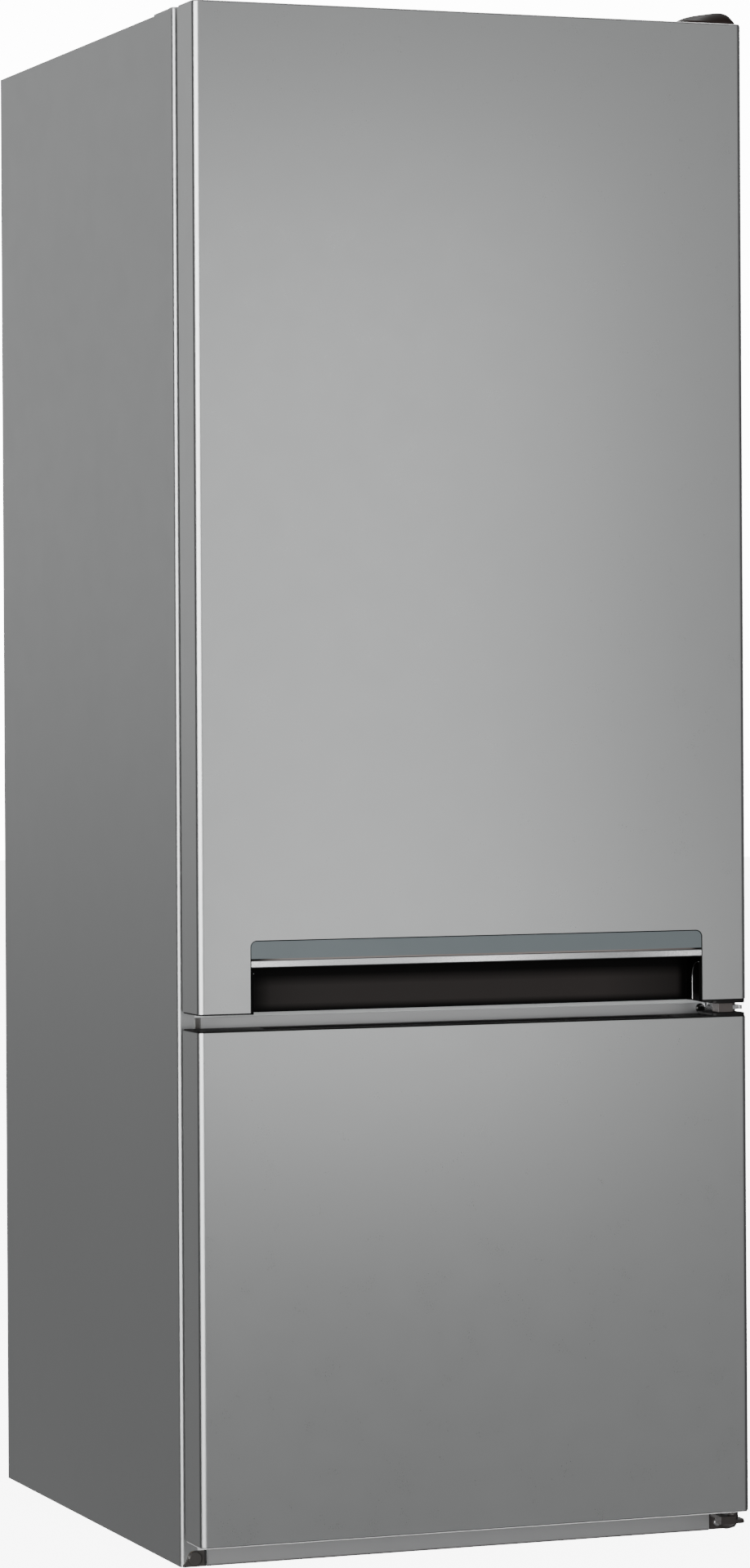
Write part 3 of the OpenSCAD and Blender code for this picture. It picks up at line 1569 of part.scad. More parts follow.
// Front view of its liner's raised part
module lower_rim(inset) {
    even_outline([-lower_rim_hw + inset, lower_rim_z0 + inset], [lower_rim_hw - inset, lower_rim_z1 - inset],
                 liner_r - inset);
}

module lower_door_skin() {
    color("silver") door_skin(lower_z0, lower_z1);
}

module lower_door_top_cap() {
    color("#242222") difference() {
        door_cap(lower_z0, lower_z1, true);
        pin_bore(lower_z1 - pin_depth - seat);
        along_z(lower_z1 - trough_h, trough_h + over)
            even_outline([-trough_hw, trough_y0], [trough_hw, trough_y1], door_r);
    }
}

module lower_door_bottom_cap() {
    color("gainsboro") difference() {
        door_cap(lower_z0, lower_z1, false);
        pin_bore(lower_z0 - over);
    }
}

module lower_door_foam() {
    color("khaki") union() {
        foam_slab(lower_z0, lower_z1);
        along_y(door_back_y - 2 * sheet_t - over, 2 * sheet_t + over + lower_rim_h - liner_t)
            lower_rim(liner_t);
    }
}

module lower_door_liner() {
    color("white") difference() {
        union() {
            block([-half_w + door_return_w, door_back_y - liner_t, lower_z0 + door_end_r],
                  [half_w - door_return_w, door_back_y, lower_z1 - door_end_r]);
            along_y(door_back_y - liner_t, liner_t + lower_rim_h) lower_rim(0);
        }
        along_y(door_back_y - liner_t - over, over + lower_rim_h) lower_rim(liner_t);
    }
}

module lower_door_gasket() {
    color("gray") door_gasket(lower_z0, lower_z1);
}

side_panel_left();
side_panel_right();
top_panel();
back_panel();
base_plate();
cabinet_foam();
fridge_liner();
freezer_liner();
crossbar_trim();
bottom_rail();
corner_plugs();
top_hinge();
top_hinge_cover();
middle_hinge();
middle_hinge_bush();
bottom_hinge();
hinge_screws();
condenser_tube();
condenser_wires();
condenser_brackets();
wall_spacers();
compressor_carrier();
compressor();
compressor_mounts();
terminal_cover();
filter_drier();
refrigerant_pipes();
evaporation_tray();
drain_spout();
control_housing();
lamp_cover();
thermostat_knob();
glass_shelves();
shelf_trims();
crisper_cover();
crisper_drawer();
freezer_shelves();
freezer_drawer_upper();
freezer_drawer_lower();
front_foot_left();
front_foot_right();
rear_roller_left();
rear_roller_right();
upper_door_skin();
upper_door_top_cap();
upper_door_bottom_cap();
upper_door_foam();
upper_door_liner();
upper_door_gasket();
handle_panel();
handle_strip();
handle_pocket();
small_balconies();
bottle_balcony();
lower_door_skin();
lower_door_top_cap();
lower_door_bottom_cap();
lower_door_foam();
lower_door_liner();
lower_door_gasket();
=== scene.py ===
"""Looks of the free-standing refrigerator: materials, a few dressed pieces, camera and studio.

Metres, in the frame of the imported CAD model: X to the hinge side, -Y out of the doors, Z up.
"""

import json
import math

import bmesh
import bpy
from mathutils import Matrix, Vector


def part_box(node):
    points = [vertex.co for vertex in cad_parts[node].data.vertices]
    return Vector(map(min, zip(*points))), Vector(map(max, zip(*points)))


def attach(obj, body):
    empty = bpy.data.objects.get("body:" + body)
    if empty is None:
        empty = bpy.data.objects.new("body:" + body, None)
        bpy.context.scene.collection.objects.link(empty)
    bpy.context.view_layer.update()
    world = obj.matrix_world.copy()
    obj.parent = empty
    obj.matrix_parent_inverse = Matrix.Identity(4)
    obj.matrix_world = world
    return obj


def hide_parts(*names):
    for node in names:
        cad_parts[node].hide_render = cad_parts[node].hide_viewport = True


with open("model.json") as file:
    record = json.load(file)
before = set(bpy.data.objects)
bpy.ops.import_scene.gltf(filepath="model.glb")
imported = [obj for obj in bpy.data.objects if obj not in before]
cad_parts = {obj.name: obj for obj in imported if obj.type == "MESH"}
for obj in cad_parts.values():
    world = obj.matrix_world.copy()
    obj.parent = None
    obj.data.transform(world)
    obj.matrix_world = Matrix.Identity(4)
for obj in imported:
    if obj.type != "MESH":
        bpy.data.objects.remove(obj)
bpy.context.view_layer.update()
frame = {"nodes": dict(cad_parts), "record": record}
nodes = frame["nodes"]

# Camera, from a fit to the corners of the cabinet and the doors in the photograph: sizes and places of
# the picture in its pixels, the camera's place in metres, its turns in radians and its sight in metres
PHOTO_W, PHOTO_H = 918, 1920
FOCAL_PX = 5857.9
AXIS_PX = (300.0, 843.9)
SENSOR_MM = 36.0
CAMERA_AT = Vector((-1.8508, -4.7608, 0.8890))
CAMERA_YAW = 0.34707
CAMERA_ROLL = -0.00564
SIGHT_END = 60


def make_camera():
    """Camera at the photograph's viewing angle, its shift as large as the framing needs."""
    data = bpy.data.cameras.new("camera")
    data.sensor_width = SENSOR_MM
    data.lens = FOCAL_PX / PHOTO_H * SENSOR_MM
    data.shift_x = (PHOTO_W / 2 - AXIS_PX[0]) / PHOTO_H
    data.shift_y = -(PHOTO_H / 2 - AXIS_PX[1]) / PHOTO_H
    data.clip_end = SIGHT_END
    forward = Vector((math.sin(CAMERA_YAW), math.cos(CAMERA_YAW), 0))
    level = Vector((math.cos(CAMERA_YAW), -math.sin(CAMERA_YAW), 0))
    up = Vector((0, 0, 1))
    right = level * math.cos(CAMERA_ROLL) + up * math.sin(CAMERA_ROLL)
    top = up * math.cos(CAMERA_ROLL) - level * math.sin(CAMERA_ROLL)
    camera = bpy.data.objects.new("camera", data)
    turned = Matrix((right, top, -forward)).transposed().to_4x4()
    camera.matrix_world = Matrix.Translation(CAMERA_AT) @ turned
    bpy.context.scene.collection.objects.link(camera)
    bpy.context.scene.camera = camera


make_camera()

# Scales of the noises that every finish has, in cells per metre, and the strength of its grain as bump
DRIFT_SCALE = 3.0
MARKS_SCALE = 28.0
GRAIN_BUMP = 0.35


class Nodes:
    """Short calls that add and link the shader nodes of one material."""

    def __init__(self, name):
        self.material = bpy.data.materials.new(name)
        self.material.use_nodes = True
        self.tree = self.material.node_tree
        self.tree.nodes.clear()
        self.output = self.tree.nodes.new("ShaderNodeOutputMaterial")
        self.shader = self.tree.nodes.new("ShaderNodeBsdfPrincipled")
        self.link(self.shader.outputs[0], self.output.inputs[0])
        self.place = self.tree.nodes.new("ShaderNodeTexCoord").outputs["Object"]

    def link(self, out, into):
        """A link from an output to an input."""
        self.tree.links.new(out, into)

    def add(self, kind, **sockets):
        """A node with values on its sockets, which are named with _ for a space."""
        node = self.tree.nodes.new(kind)
        for key, value in sockets.items():
            node.inputs[key.replace("_", " ")].default_value = value
        return node

    def stretched(self, scale):
        """Object coordinates scaled by a factor for each axis."""
        node = self.tree.nodes.new("ShaderNodeMapping")
        node.inputs["Scale"].default_value = scale
        self.link(self.place, node.inputs["Vector"])
        return node.outputs[0]

    def noise(self, scale, detail=2.0, rough=0.5, stretch=None):
        """Noise in the object's space, stretched by a factor for each axis where one is given."""
        node = self.add("ShaderNodeTexNoise", Scale=scale, Detail=detail, Roughness=rough)
        self.link(self.stretched(stretch) if stretch else self.place, node.inputs["Vector"])
        return node.outputs["Fac"]

    def ramp(self, source, low, high, start=0.3, end=0.7):
        """Colour that goes from low to high while the source goes from start to end."""
        node = self.tree.nodes.new("ShaderNodeValToRGB")
        node.color_ramp.elements[0].position = start
        node.color_ramp.elements[0].color = low
        node.color_ramp.elements[1].position = end
        node.color_ramp.elements[1].color = high
        self.link(source, node.inputs["Fac"])
        return node.outputs["Color"]

    def span(self, source, low, high, start=0.3, end=0.7):
        """Number that goes from low to high while the source goes from start to end."""
        node = self.tree.nodes.new("ShaderNodeMapRange")
        node.inputs["From Min"].default_value = start
        node.inputs["From Max"].default_value = end
        node.inputs["To Min"].default_value = low
        node.inputs["To Max"].default_value = high
        self.link(source, node.inputs["Value"])
        return node.outputs["Result"]

    def along(self, axis, stops):
        """Colour that follows stops, which are given in metres along an axis of the object."""
        split = self.tree.nodes.new("ShaderNodeSeparateXYZ")
        self.link(self.place, split.inputs[0])
        low, high = stops[0][0], stops[-1][0]
        node = self.tree.nodes.new("ShaderNodeValToRGB")
        self.link(self.span(split.outputs[axis], 0.0, 1.0, low, high), node.inputs["Fac"])
        points = node.color_ramp.elements
        for at, colour in stops[1:-1]:
            points.new((at - low) / (high - low))
        for point, (at, colour) in zip(points, stops):
            point.color = shade(colour, 1.0)
        return node.outputs["Color"]

    def tinted(self, colour, tint):
        """A colour multiplied by another one."""
        node = self.tree.nodes.new("ShaderNodeMix")
        node.data_type = "RGBA"
        node.blend_type = "MULTIPLY"
        node.inputs["Factor"].default_value = 1.0
        self.link(colour, node.inputs[6])
        self.link(tint, node.inputs[7])
        return node.outputs[2]

    def bump(self, source, strength, distance):
        """Bump of the shader that follows a source."""
        node = self.add("ShaderNodeBump", Strength=strength, Distance=distance)
        self.link(source, node.inputs["Height"])
        self.link(node.outputs[0], self.shader.inputs["Normal"])

    def set(self, **sockets):
        """Values on the shader's own sockets."""
        for key, value in sockets.items():
            self.shader.inputs[key.replace("_", " ")].default_value = value


def shade(colour, factor):
    """A colour made darker or lighter by a factor, with full alpha."""
    return tuple(min(1.0, c * factor) for c in colour[:3]) + (1.0,)


def surface(name, colour, rough, metal=0.0, drift=0.06, grain=900.0, grain_depth=2e-5, wear=0.1,
            stretch=None, bands=(), **sockets):
    """General finish: slow drift of the colour, fine grain in bump and roughness, faint handling marks.

    Bands multiply the colour along an axis by the colours of their stops.
    """
    n = Nodes(name)
    slow = n.noise(DRIFT_SCALE, detail=3.0)
    fine = n.noise(grain, detail=2.0, rough=0.6, stretch=stretch)
    marks = n.noise(MARKS_SCALE, detail=5.0, rough=0.65)
    tone = n.ramp(slow, shade(colour, 1 - drift), shade(colour, 1 + drift))
    for axis, stops in bands:
        tone = n.tinted(tone, n.along(axis, stops))
    n.link(tone, n.shader.inputs["Base Color"])
    blend = n.add("ShaderNodeMath")
    blend.operation = "ADD"
    n.link(n.span(fine, -wear / 2, wear / 2), blend.inputs[0])
    n.link(n.span(marks, rough - wear / 3, rough + wear / 3), blend.inputs[1])
    n.link(blend.outputs[0], n.shader.inputs["Roughness"])
    n.bump(fine, GRAIN_BUMP, grain_depth)
    n.set(Metallic=metal, **sockets)
    return n


# Colours of the painted steel, of the light end caps, and of the bands, some of which paint shade and light
SILVER = (0.66, 0.672, 0.672)
SIDE_SILVER = (0.56, 0.57, 0.572)
CAP_WHITE = (0.93, 0.93, 0.93)
FULL, HALF, DARK = (1.0, 1.0, 1.0), (0.5, 0.5, 0.5), (0.02, 0.02, 0.02)
BLACK, BROWN, SEAT_PAINTED_LIGHT = (0.0015, 0.0015, 0.0015), (0.036, 0.036, 0.036), (0.30, 0.30, 0.30)
PLUG_GREY, PLUG_BLACK = (0.075, 0.070, 0.066), (0.006, 0.006, 0.006)

# Painted shade of the grooves between the light end caps and the door skins: a dark band below the top cap
# and above the bottom one
TOP_CAP_GROOVE_SHADE = [(1.5650, DARK), (1.56615, DARK), (1.56625, FULL), (1.5670, FULL)]
BOTTOM_CAP_GROOVE_SHADE = [(0.0440, FULL), (0.0447, FULL), (0.0448, DARK), (0.0460, DARK)]

# The handle pocket has painted shade: black under its ceiling, at its lower edge and towards its ends,
# brownish in the middle of its back wall where light reaches it, and a painted light grey band in the seat
# of the chrome strip
POCKET_SHADE_AND_LIGHT = [(0.5660, BLACK), (0.5700, BLACK), (0.5760, BROWN), (0.5930, BROWN), (0.6040, BLACK),
                 (0.6208, BLACK), (0.6214, SEAT_PAINTED_LIGHT), (0.6228, SEAT_PAINTED_LIGHT), (0.6234, BLACK), (0.6410, BLACK)]
POCKET_END_SHADE = [(-0.2440, DARK), (-0.2340, DARK), (-0.2100, FULL), (0.1500, FULL), (0.2340, HALF),
               (0.2400, DARK), (0.2480, DARK)]

# The block of the middle hinge is lighter than the collars above and below it
BUSH_SHADES = [(0.5520, DARK), (0.5555, DARK), (0.5560, FULL), (0.5645, FULL), (0.5650, DARK),
               (0.5680, DARK)]

# The plug at the free side of the crossbar is lighter than the one at the hinge
PLUG_SHADES = [(-0.30, PLUG_GREY), (-0.10, PLUG_GREY), (0.10, PLUG_BLACK), (0.30, PLUG_BLACK)]

# Materials, one for each slot of the record
surface_of = {
    "side_paint": surface("side_paint", SIDE_SILVER, 0.36, metal=0.95, drift=0.01, grain=1400.0, wear=0.04),
    "door_steel": surface("door_steel", SILVER, 0.30, metal=0.97, drift=0.008, grain=1500.0, wear=0.04,
                          stretch=(1.0, 1.0, 0.35)),
    "top_paint": surface("top_paint", SIDE_SILVER, 0.45, metal=0.5, drift=0.03),
    "zinc_sheet": surface("zinc_sheet", (0.50, 0.52, 0.53), 0.45, metal=0.8, drift=0.15, wear=0.2),
    "foam": surface("foam", (0.80, 0.70, 0.42), 0.9, drift=0.1, grain=500.0, grain_depth=3e-4),
    "liner_white": surface("liner_white", (0.82, 0.84, 0.84), 0.22, drift=0.015, grain=600.0),
    "bar_silver": surface("bar_silver", (0.66, 0.665, 0.67), 0.42, metal=0.95, drift=0.01, wear=0.04,
                          grain=1500.0, grain_depth=4e-6),
    "dark_plastic": surface("dark_plastic", (0.008, 0.0075, 0.0075), 0.5, drift=0.1, grain_depth=4e-5,
                            Specular_IOR_Level=0.25),
    "light_plastic": surface("light_plastic", CAP_WHITE, 0.35, drift=0.02, grain_depth=2e-5),
    # The pocket's colour carries painted shade and a painted light band
    "pocket_black": surface("pocket_black", (1.0, 0.86, 0.82), 0.42, drift=0.06,
                            bands=[("Z", POCKET_SHADE_AND_LIGHT), ("X", POCKET_END_SHADE)], Specular_IOR_Level=0.1),
    "handle_grey": surface("handle_grey", (0.205, 0.238, 0.250), 0.38, metal=0.4, drift=0.04),
    "strip_chrome": surface("strip_chrome", (0.66, 0.67, 0.68), 0.14, metal=1.0, drift=0.01, wear=0.03),
    "hinge_steel": surface("hinge_steel", (0.60, 0.60, 0.61), 0.3, metal=1.0, drift=0.05, wear=0.08,
                           grain_depth=3e-6),
    "hinge_dark": surface("hinge_dark", (0.055, 0.048, 0.046), 0.42, metal=0.3, drift=0.1),
    "cover_brown": surface("cover_brown", (0.034, 0.024, 0.022), 0.32, drift=0.1, Specular_IOR_Level=0.2),
    "black_paint": surface("black_paint", (0.012, 0.012, 0.013), 0.4, drift=0.2, wear=0.2),
    "white_plastic": surface("white_plastic", (0.78, 0.79, 0.79), 0.45, drift=0.02),
    "rubber_black": surface("rubber_black", (0.015, 0.015, 0.015), 0.8, drift=0.2),
    "gasket_grey": surface("gasket_grey", (0.045, 0.042, 0.040), 0.65, drift=0.08),
    "copper": surface("copper", (0.72, 0.36, 0.22), 0.3, metal=1.0, drift=0.15, wear=0.25),
    "lamp_white": surface("lamp_white", (0.85, 0.85, 0.82), 0.35, drift=0.02, Alpha=0.8),
    "knob_grey": surface("knob_grey", (0.55, 0.56, 0.57), 0.4, drift=0.03),
    "glass": surface("glass", (0.80, 0.92, 0.89), 0.04, drift=0.01, wear=0.02, Alpha=0.35),
    "clear_plastic": surface("clear_plastic", (0.78, 0.87, 0.92), 0.12, drift=0.02, wear=0.06, Alpha=0.4),
    "evaporator": surface("evaporator", (0.72, 0.73, 0.74), 0.35, metal=0.5, drift=0.05),
    "foot_black": surface("foot_black", (0.018, 0.018, 0.018), 0.6, drift=0.15),
}

# Nodes whose finish differs from the other parts of their slot
surface_at = {
    # The light end caps carry the painted shade of their grooves
    "upper_door_top_cap": surface("top_cap_groove_shade", CAP_WHITE, 0.35, drift=0.02, grain_depth=2e-5,
                                  bands=[("Z", TOP_CAP_GROOVE_SHADE)]),
    "lower_door_bottom_cap": surface("bottom_cap_groove_shade", CAP_WHITE, 0.35, drift=0.02,
                                     grain_depth=2e-5, bands=[("Z", BOTTOM_CAP_GROOVE_SHADE)]),
    "corner_plugs": surface("plug_plastic", FULL, 0.14, drift=0.05, grain_depth=1e-6, wear=0.03,
                            bands=[("X", PLUG_SHADES)]),
    "middle_hinge_bush": surface("bush_plastic", (0.095, 0.082, 0.078), 0.4, drift=0.05, grain_depth=2e-5,
                                 bands=[("Z", BUSH_SHADES)]),
}

for part in frame["record"]["subparts"]:
    mesh = nodes[part["node"]].data
    mesh.materials.clear()
    mesh.materials.append(surface_at.get(part["node"], surface_of[part["material_slot"]]).material)

# Dressed pieces: sizes and places in mm, unless their comment says otherwise
MM = 0.001

# Section of a door gasket: distance from the edge of the CAD gasket and from the door's back.
# A neck at the door, bellows with two folds, and the box of the magnet strip at the cabinet.
GASKET_SECTION = [
    (4.0, 0.0), (4.0, 2.0), (0.4, 2.8), (0.1, 4.0), (2.7, 5.1), (0.1, 6.2), (0.1, 7.3), (2.2, 8.3),
    (0.1, 9.2), (0.0, 12.3), (15.0, 12.3), (14.9, 9.2), (12.8, 8.3), (14.9, 7.3), (14.9, 6.2), (12.3, 5.1),
    (14.9, 4.0), (14.6, 2.8), (11.0, 2.0), (11.0, 0.0)]

# Middle hinge pin in metres, then the pads round it: their reach to each side, their bore, their
# lowest and highest faces, and the chamfer of their edges inwards and upwards
PIN_AT = Vector((0.286, -0.3105))
PAD_LEFT, PAD_RIGHT, PAD_FRONT, PAD_REAR = 26.0, 10.0, 15.6, 27.0
PAD_BORE = 5.9
UPPER_PAD_Z = (565.1, 568.2)
LOWER_PAD_Z = (552.3, 555.4)
PAD_CHAMFER, PAD_CHAMFER_Z = 0.5, 0.4
PAD_TURNS = 64

# Faces and edges of the pocket's side cheeks, and the radius of the rims on them, whose bend has steps
CHEEK_LEFT, CHEEK_RIGHT = -239.6, 243.6
CHEEK_REAR, CHEEK_LOW, CHEEK_TOP, CHEEK_R = -310.9, 569.5, 608.2, 14.6
RIM_R = 0.45
RIM_STEPS = 12

# The cover's ridge across its width and its peak along its depth, from -1 to 1, the reach of its gentle
# slope in half widths, its fall towards the front, and its upright skirt as a share of its height
COVER_RIDGE = 0.7
COVER_SLOPE = 1.26
COVER_PEAK = 0.5
COVER_FALL = 0.4
COVER_SKIRT = 0.08

# Powers of the cover's curves: its gentle and steep slopes, its fall to the front and to the rear, its
# shoulder all round, and the closing of its rings towards the middle. Then the number of points in a
# ring and of rings, the wall, and the distance under which points are joined
SLOPE_BEND, STEEP_BEND = 1.5, 4
FRONT_BEND, REAR_BEND = 1.2, 2
SHOULDER_BEND = 8
RING_BEND = 1.5
COVER_TURNS, COVER_RINGS = 72, 16
COVER_WALL = 1.2
SAME_POINT = 0.001

# Power of the rounded rectangle that the pads and the cover have as outline
OUTLINE_POWER = 10.0

# Upright rubber bead at the free end of the bottom rail: its place, its ends and its radius
SEAL_X, SEAL_Y = -272.2, -266.0
SEAL_LOW, SEAL_TOP = 17.6, 41.6
SEAL_R = 1.2


def finish_piece(mesh, name, body, slot, replaced=(), smooth=True):
    """A mesh as a piece of the object, with its material, body and the CAD nodes that it stands for."""
    if smooth:
        for face in mesh.polygons:
            face.use_smooth = True
    mesh.materials.append(surface_of[slot].material)
    piece = bpy.data.objects.new(name, mesh)
    bpy.context.scene.collection.objects.link(piece)
    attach(piece, body)
    if replaced:
        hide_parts(*replaced)
    return piece


def mesh_of(bm, name):
    """The mesh of a bmesh, with its faces turned outwards."""
    bmesh.ops.recalc_face_normals(bm, faces=bm.faces)
    mesh = bpy.data.meshes.new(name)
    bm.to_mesh(mesh)
    bm.free()
    return mesh


def rounded_off(points):
    """A closed polygon with each corner cut at a quarter of its sides."""
    cut = []
    for k, (u, v) in enumerate(points):
        nu, nv = points[(k + 1) % len(points)]
        cut.append((0.75 * u + 0.25 * nu, 0.75 * v + 0.25 * nv))
        cut.append((0.25 * u + 0.75 * nu, 0.25 * v + 0.75 * nv))
    return cut


def outline_reach(c, s, reach_x=1.0, reach_y=1.0):
    """Distance to a rounded rectangle's outline in the direction with the cosine c and the sine s."""
    across = (abs(c) / reach_x) ** OUTLINE_POWER
    along = (abs(s) / reach_y) ** OUTLINE_POWER
    return (across + along) ** (-1 / OUTLINE_POWER)


def make_gasket(door):
    """Gasket with mitred corners round the back of a door, in place of its plain CAD ring."""
    node = door + "_gasket"
    low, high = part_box(node)
    section = rounded_off(GASKET_SECTION)
    rings = []
    bm = bmesh.new()
    for sx, sz in ((0, 0), (1, 0), (1, 1), (0, 1)):
        ring = []
        for inset, out in section:
            x = low[0] + inset * MM if sx == 0 else high[0] - inset * MM
            z = low[2] + inset * MM if sz == 0 else high[2] - inset * MM
            ring.append(bm.verts.new((x, low[1] + out * MM, z)))
        rings.append(ring)
    for k in range(4):
        a, b = rings[k], rings[(k + 1) % 4]
        for j in range(len(section)):
            i = (j + 1) % len(section)
            bm.faces.new((a[j], b[j], b[i], a[i]))
    name = door + "_bellows"
    finish_piece(mesh_of(bm, name), name, door, "gasket_grey", (node,), smooth=False)


def make_pad(name, door, z_range):
    """Plastic boss of a door's end cap round the middle hinge pin, open where the collar turns in it; its
    dark plastic also stands in for the shade in the gap at the hinge.
    """
    low, high = z_range
    directions = [(math.cos(math.tau * k / PAD_TURNS), math.sin(math.tau * k / PAD_TURNS))
                  for k in range(PAD_TURNS)]
    levels = ((PAD_CHAMFER, low), (0.0, low + PAD_CHAMFER_Z),
              (0.0, high - PAD_CHAMFER_Z), (PAD_CHAMFER, high))
    rings = []
    bm = bmesh.new()
    for inset, z in levels:
        outer = []
        for c, s in directions:
            r = outline_reach(c, s, (PAD_RIGHT if c > 0 else PAD_LEFT) - inset,
                              (PAD_REAR if s > 0 else PAD_FRONT) - inset)
            outer.append(bm.verts.new((PIN_AT.x + c * r * MM, PIN_AT.y + s * r * MM, z * MM)))
        rings.append(outer)
    for z in (high, low):
        rings.append([bm.verts.new((PIN_AT.x + c * PAD_BORE * MM, PIN_AT.y + s * PAD_BORE * MM, z * MM))
                      for c, s in directions])
    for k in range(len(rings)):
        a, b = rings[k], rings[(k + 1) % len(rings)]
        for j in range(PAD_TURNS):
            i = (j + 1) % PAD_TURNS
            bm.faces.new((a[j], a[i], b[i], b[j]))
    finish_piece(mesh_of(bm, name), name, door, "dark_plastic", smooth=False)


def make_bead(name, path, radius, body, slot):
    """Round bead along a path."""
    curve = bpy.data.curves.new(name, "CURVE")
    curve.dimensions = "3D"
    curve.bevel_depth = radius * MM
    curve.bevel_resolution = 4
    curve.use_fill_caps = True
    line = curve.splines.new("POLY")
    line.points.add(len(path) - 1)
    for point, place in zip(line.points, path):
        point.co = (*(v * MM for v in place), 1.0)
    shape = bpy.data.objects.new(name + "_curve", curve)
    mesh = bpy.data.meshes.new_from_object(shape)
    mesh.name = name
    bpy.data.objects.remove(shape)
    finish_piece(mesh, name, body, slot)


def make_rims():
    """Polished rims on the rear edges of the pocket's cheeks, which curve forwards under the strip."""
    for name, x in (("cheek_rim_left", CHEEK_LEFT), ("cheek_rim_right", CHEEK_RIGHT)):
        path = [(x, CHEEK_REAR, CHEEK_LOW)]
        for k in range(RIM_STEPS + 1):
            turn = math.pi / 2 * k / RIM_STEPS
            path.append((x, CHEEK_REAR - CHEEK_R * (1 - math.cos(turn)),
                         CHEEK_TOP - CHEEK_R * (1 - math.sin(turn))))
        make_bead(name, path, RIM_R, "upper_door", "strip_chrome")


def cover_height(u, v, ring_share):
    """Share of the cover's height at a place across it (u) and along it (v), both from -1 to 1."""
    if u < COVER_RIDGE:
        across = 1 - ((COVER_RIDGE - u) / COVER_SLOPE) ** SLOPE_BEND
    else:
        across = 1 - ((u - COVER_RIDGE) / (1 - COVER_RIDGE)) ** STEEP_BEND
    if v < COVER_PEAK:
        along = 1 - COVER_FALL * ((COVER_PEAK - v) / (1 + COVER_PEAK)) ** FRONT_BEND
    else:
        along = 1 - ((v - COVER_PEAK) / (1 - COVER_PEAK)) ** REAR_BEND
    shoulder = 1 - ring_share ** SHOULDER_BEND
    return COVER_SKIRT + (1 - COVER_SKIRT) * max(0.0, across) * max(0.0, along) * shoulder


def make_cover():
    """Domed cover of the top hinge: a gentle slope on the free side, a steep one at the cabinet's side."""
    low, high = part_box("top_hinge_cover")
    middle, half = (low + high) / 2, (high - low) / 2
    bm = bmesh.new()
    rings = []
    for k in range(COVER_RINGS + 1):
        ring_share = 1 - (k / COVER_RINGS) ** RING_BEND
        ring = []
        for j in range(COVER_TURNS):
            c, s = math.cos(math.tau * j / COVER_TURNS), math.sin(math.tau * j / COVER_TURNS)
            r = outline_reach(c, s) * ring_share
            u, v = c * r, s * r
            height = cover_height(u, v, ring_share) if k else 0.0
            ring.append(bm.verts.new((middle.x + half.x * u, middle.y + half.y * v,
                                      low.z + 2 * half.z * height)))
        rings.append(ring)
        if not k:
            skirt_z = low.z + 2 * half.z * COVER_SKIRT
            rings.append([bm.verts.new((foot.co.x, foot.co.y, skirt_z)) for foot in ring])
    for a, b in zip(rings, rings[1:]):
        for j in range(COVER_TURNS):
            i = (j + 1) % COVER_TURNS
            bm.faces.new((a[j], a[i], b[i], b[j]))
    bmesh.ops.remove_doubles(bm, verts=bm.verts, dist=SAME_POINT * MM)
    name = "top_hinge_dome"
    cover = finish_piece(mesh_of(bm, name), name, "cabinet", "cover_brown", ("top_hinge_cover",))
    shell = cover.modifiers.new("shell", "SOLIDIFY")
    shell.thickness = COVER_WALL * MM
    shell.offset = -1


make_gasket("upper_door")
make_gasket("lower_door")
make_pad("upper_door_pad", "upper_door", UPPER_PAD_Z)
make_pad("lower_door_pad", "lower_door", LOWER_PAD_Z)
make_rims()
make_cover()
make_bead("rail_end_seal", [(SEAL_X, SEAL_Y, SEAL_LOW), (SEAL_X, SEAL_Y, SEAL_TOP)], SEAL_R, "cabinet",
          "rubber_black")

# Studio: the floor's radius in metres and its glow
FLOOR_R = 20
FLOOR_GLOW = 8.0

# Soft boxes: place and the point that each faces in metres, size in metres and power in watts
SOFT_BOXES = {
    "front_box": ((0.41, -1.95, 0.95), (-0.13, -0.3275, 0.92), (0.78, 1.35), 2.15),
    "side_box": ((3.0, 1.2, 1.0), (0.2975, 0.2, 0.8), (2.2, 2.2), 14.0),
}

# Three small lights that the chrome strip of the handle mirrors: their places across, their distance in
# front, their height and that of the strip, the doors' face, size and power
STRIP_LIGHTS = (0.345, 0.686, 1.005)
STRIP_LIGHT_Y, STRIP_LIGHT_Z = -1.95, 0.518
STRIP_Z, DOOR_FACE_Y = 0.58, -0.3275
STRIP_LIGHT_SIZE = (0.09, 0.06)
STRIP_LIGHT_POWER = 0.06

# Surroundings by direction, from straight behind (0) towards the hinge side (90) and round the left
# side (-90), and by height from straight down (-1) to straight up (1): walls, then a white screen
REAR_WALLS = (
    [(-180, 0.0), (-90, 0.0), (-86, 0.03), (-44, 0.05), (-28, 0.55), (-5, 0.62), (50, 0.5), (70, 0.05),
     (74, 0.0), (180, 0.0)],
    [(-1.0, 0.3), (-0.20, 0.37), (-0.07, 0.33), (0.03, 1.0), (0.30, 0.95), (0.55, 0.6), (1.0, 0.5)])
FRONT_WALLS = (
    [(-180, 0.36), (-110, 0.36), (-90, 0.0), (72, 0.0), (76, 0.05), (128, 0.05), (146, 0.36), (180, 0.36)],
    [(-1.0, 0.45), (-0.20, 0.5), (-0.06, 0.7), (0.04, 1.0), (0.30, 0.95), (0.55, 0.6), (1.0, 0.5)])
SCREEN = (
    [(-180, 0.0), (-174, 0.0), (-163, 9.0), (-106, 9.0), (-96, 0.0), (180, 0.0)],
    [(-1.0, 0.0), (-0.10, 0.0), (-0.02, 1.0), (0.12, 1.0), (0.26, 0.0), (1.0, 0.0)])

# Strength of the backdrop behind the object, and the value that a full colour stands for in a curve
BACKDROP = 14.0
TOP_VALUE = 10.0


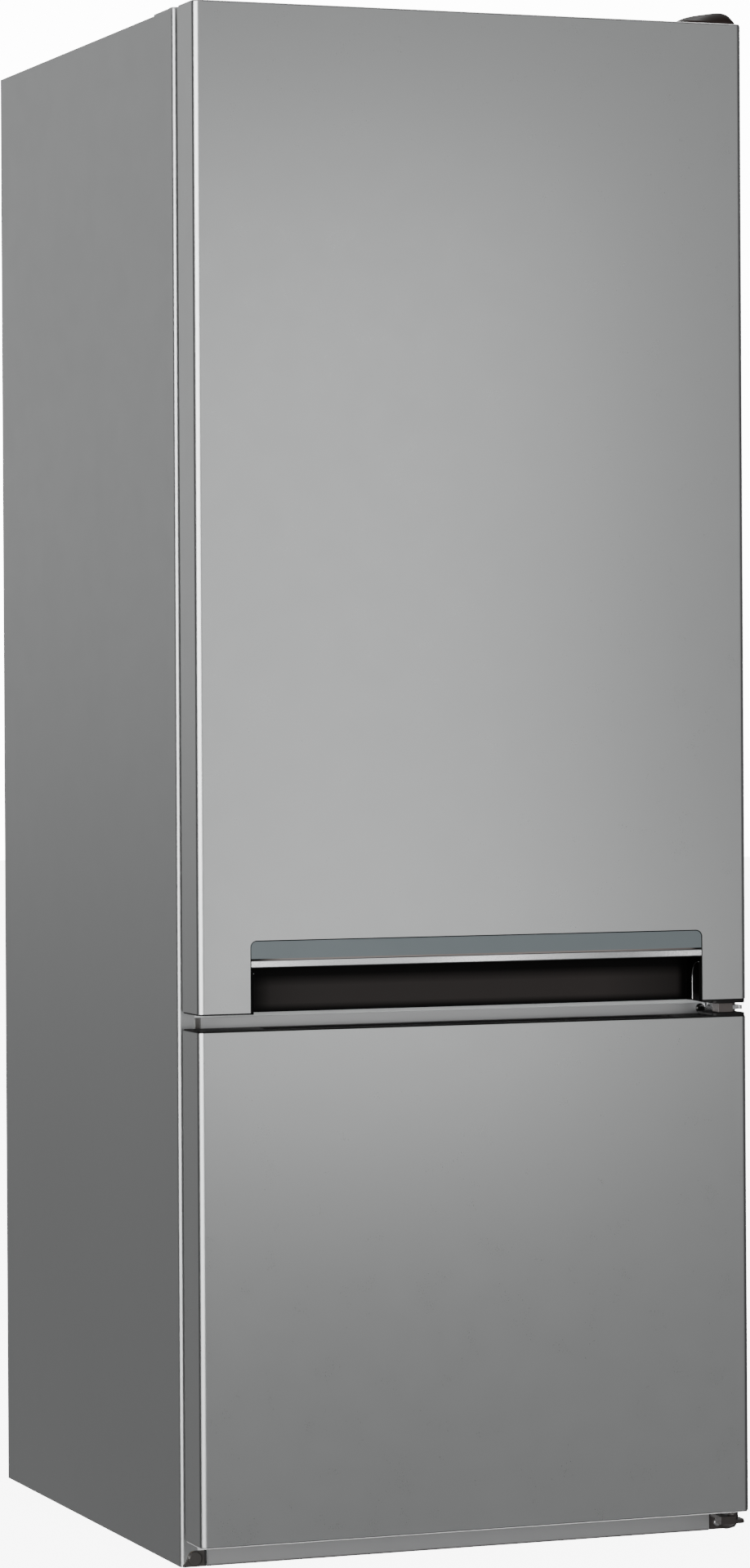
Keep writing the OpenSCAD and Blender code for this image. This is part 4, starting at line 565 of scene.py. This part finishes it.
def make_floor():
    """Pale round floor that the object's gloss doesn't mirror."""
    bpy.ops.mesh.primitive_circle_add(vertices=96, radius=FLOOR_R, fill_type="NGON", location=(0, 0, 0))
    floor = bpy.context.object
    floor.name = "floor"
    floor.data.materials.append(surface("floor_pale", (0.86, 0.86, 0.86), 0.85, drift=0.01, grain=40.0,
                                        Emission_Color=(1, 1, 1, 1), Emission_Strength=FLOOR_GLOW).material)
    floor.visible_glossy = False
    floor.visible_diffuse = False
    floor.visible_shadow = False


def make_light(name, at, towards, size, power):
    """Rectangular soft light at a place, turned towards a point."""
    data = bpy.data.lights.new(name, "AREA")
    data.shape = "RECTANGLE"
    data.size, data.size_y = size
    data.energy = power
    light = bpy.data.objects.new(name, data)
    light.location = at
    light.rotation_euler = (Vector(towards) - Vector(at)).to_track_quat("-Z", "Y").to_euler()
    light.visible_camera = False
    bpy.context.scene.collection.objects.link(light)


def curve_of(tree, source, low, high, stops):
    """Value that follows the stops while the source goes from low to high."""
    span = tree.nodes.new("ShaderNodeMapRange")
    span.inputs["From Min"].default_value = low
    span.inputs["From Max"].default_value = high
    tree.links.new(source, span.inputs["Value"])
    ramp = tree.nodes.new("ShaderNodeValToRGB")
    tree.links.new(span.outputs["Result"], ramp.inputs["Fac"])
    points = ramp.color_ramp.elements
    for at, value in stops[1:-1]:
        points.new((at - low) / (high - low))
    for point, (at, value) in zip(points, stops):
        point.color = (value / TOP_VALUE, value / TOP_VALUE, value / TOP_VALUE, 1.0)
    return ramp.outputs["Color"]


def make_world():
    """Light surroundings of a studio, and a white backdrop where the camera looks past the object."""
    world = bpy.data.worlds.new("studio")
    world.use_nodes = True
    tree = world.node_tree
    background = tree.nodes["Background"]
    split = tree.nodes.new("ShaderNodeSeparateXYZ")
    tree.links.new(tree.nodes.new("ShaderNodeTexCoord").outputs["Generated"], split.inputs[0])
    turn = tree.nodes.new("ShaderNodeMath")
    turn.operation = "ARCTAN2"
    tree.links.new(split.outputs["X"], turn.inputs[0])
    tree.links.new(split.outputs["Y"], turn.inputs[1])
    degrees = tree.nodes.new("ShaderNodeMath")
    degrees.operation = "DEGREES"
    tree.links.new(turn.outputs[0], degrees.inputs[0])
    total = None
    for around, height in (REAR_WALLS, FRONT_WALLS, SCREEN):
        both = tree.nodes.new("ShaderNodeMath")
        both.operation = "MULTIPLY"
        tree.links.new(curve_of(tree, degrees.outputs[0], -180, 180, around), both.inputs[0])
        tree.links.new(curve_of(tree, split.outputs["Z"], -1, 1, height), both.inputs[1])
        if total:
            added = tree.nodes.new("ShaderNodeMath")
            tree.links.new(total.outputs[0], added.inputs[0])
            tree.links.new(both.outputs[0], added.inputs[1])
            both = added
        total = both
    scaled = tree.nodes.new("ShaderNodeMath")
    scaled.operation = "MULTIPLY"
    tree.links.new(total.outputs[0], scaled.inputs[0])
    scaled.inputs[1].default_value = TOP_VALUE ** 2
    rays = tree.nodes.new("ShaderNodeLightPath")
    pick = tree.nodes.new("ShaderNodeMix")
    tree.links.new(rays.outputs["Is Camera Ray"], pick.inputs["Factor"])
    tree.links.new(scaled.outputs[0], pick.inputs["A"])
    pick.inputs["B"].default_value = BACKDROP
    background.inputs["Color"].default_value = (1, 1, 1, 1)
    tree.links.new(pick.outputs["Result"], background.inputs["Strength"])
    bpy.context.scene.world = world


make_floor()
make_world()
for box_name, values in SOFT_BOXES.items():
    make_light(box_name, *values)
for k, x in enumerate(STRIP_LIGHTS):
    make_light("strip_light_%d" % k, (x, STRIP_LIGHT_Y, STRIP_LIGHT_Z), (x, DOOR_FACE_Y, STRIP_Z),
               STRIP_LIGHT_SIZE, STRIP_LIGHT_POWER)
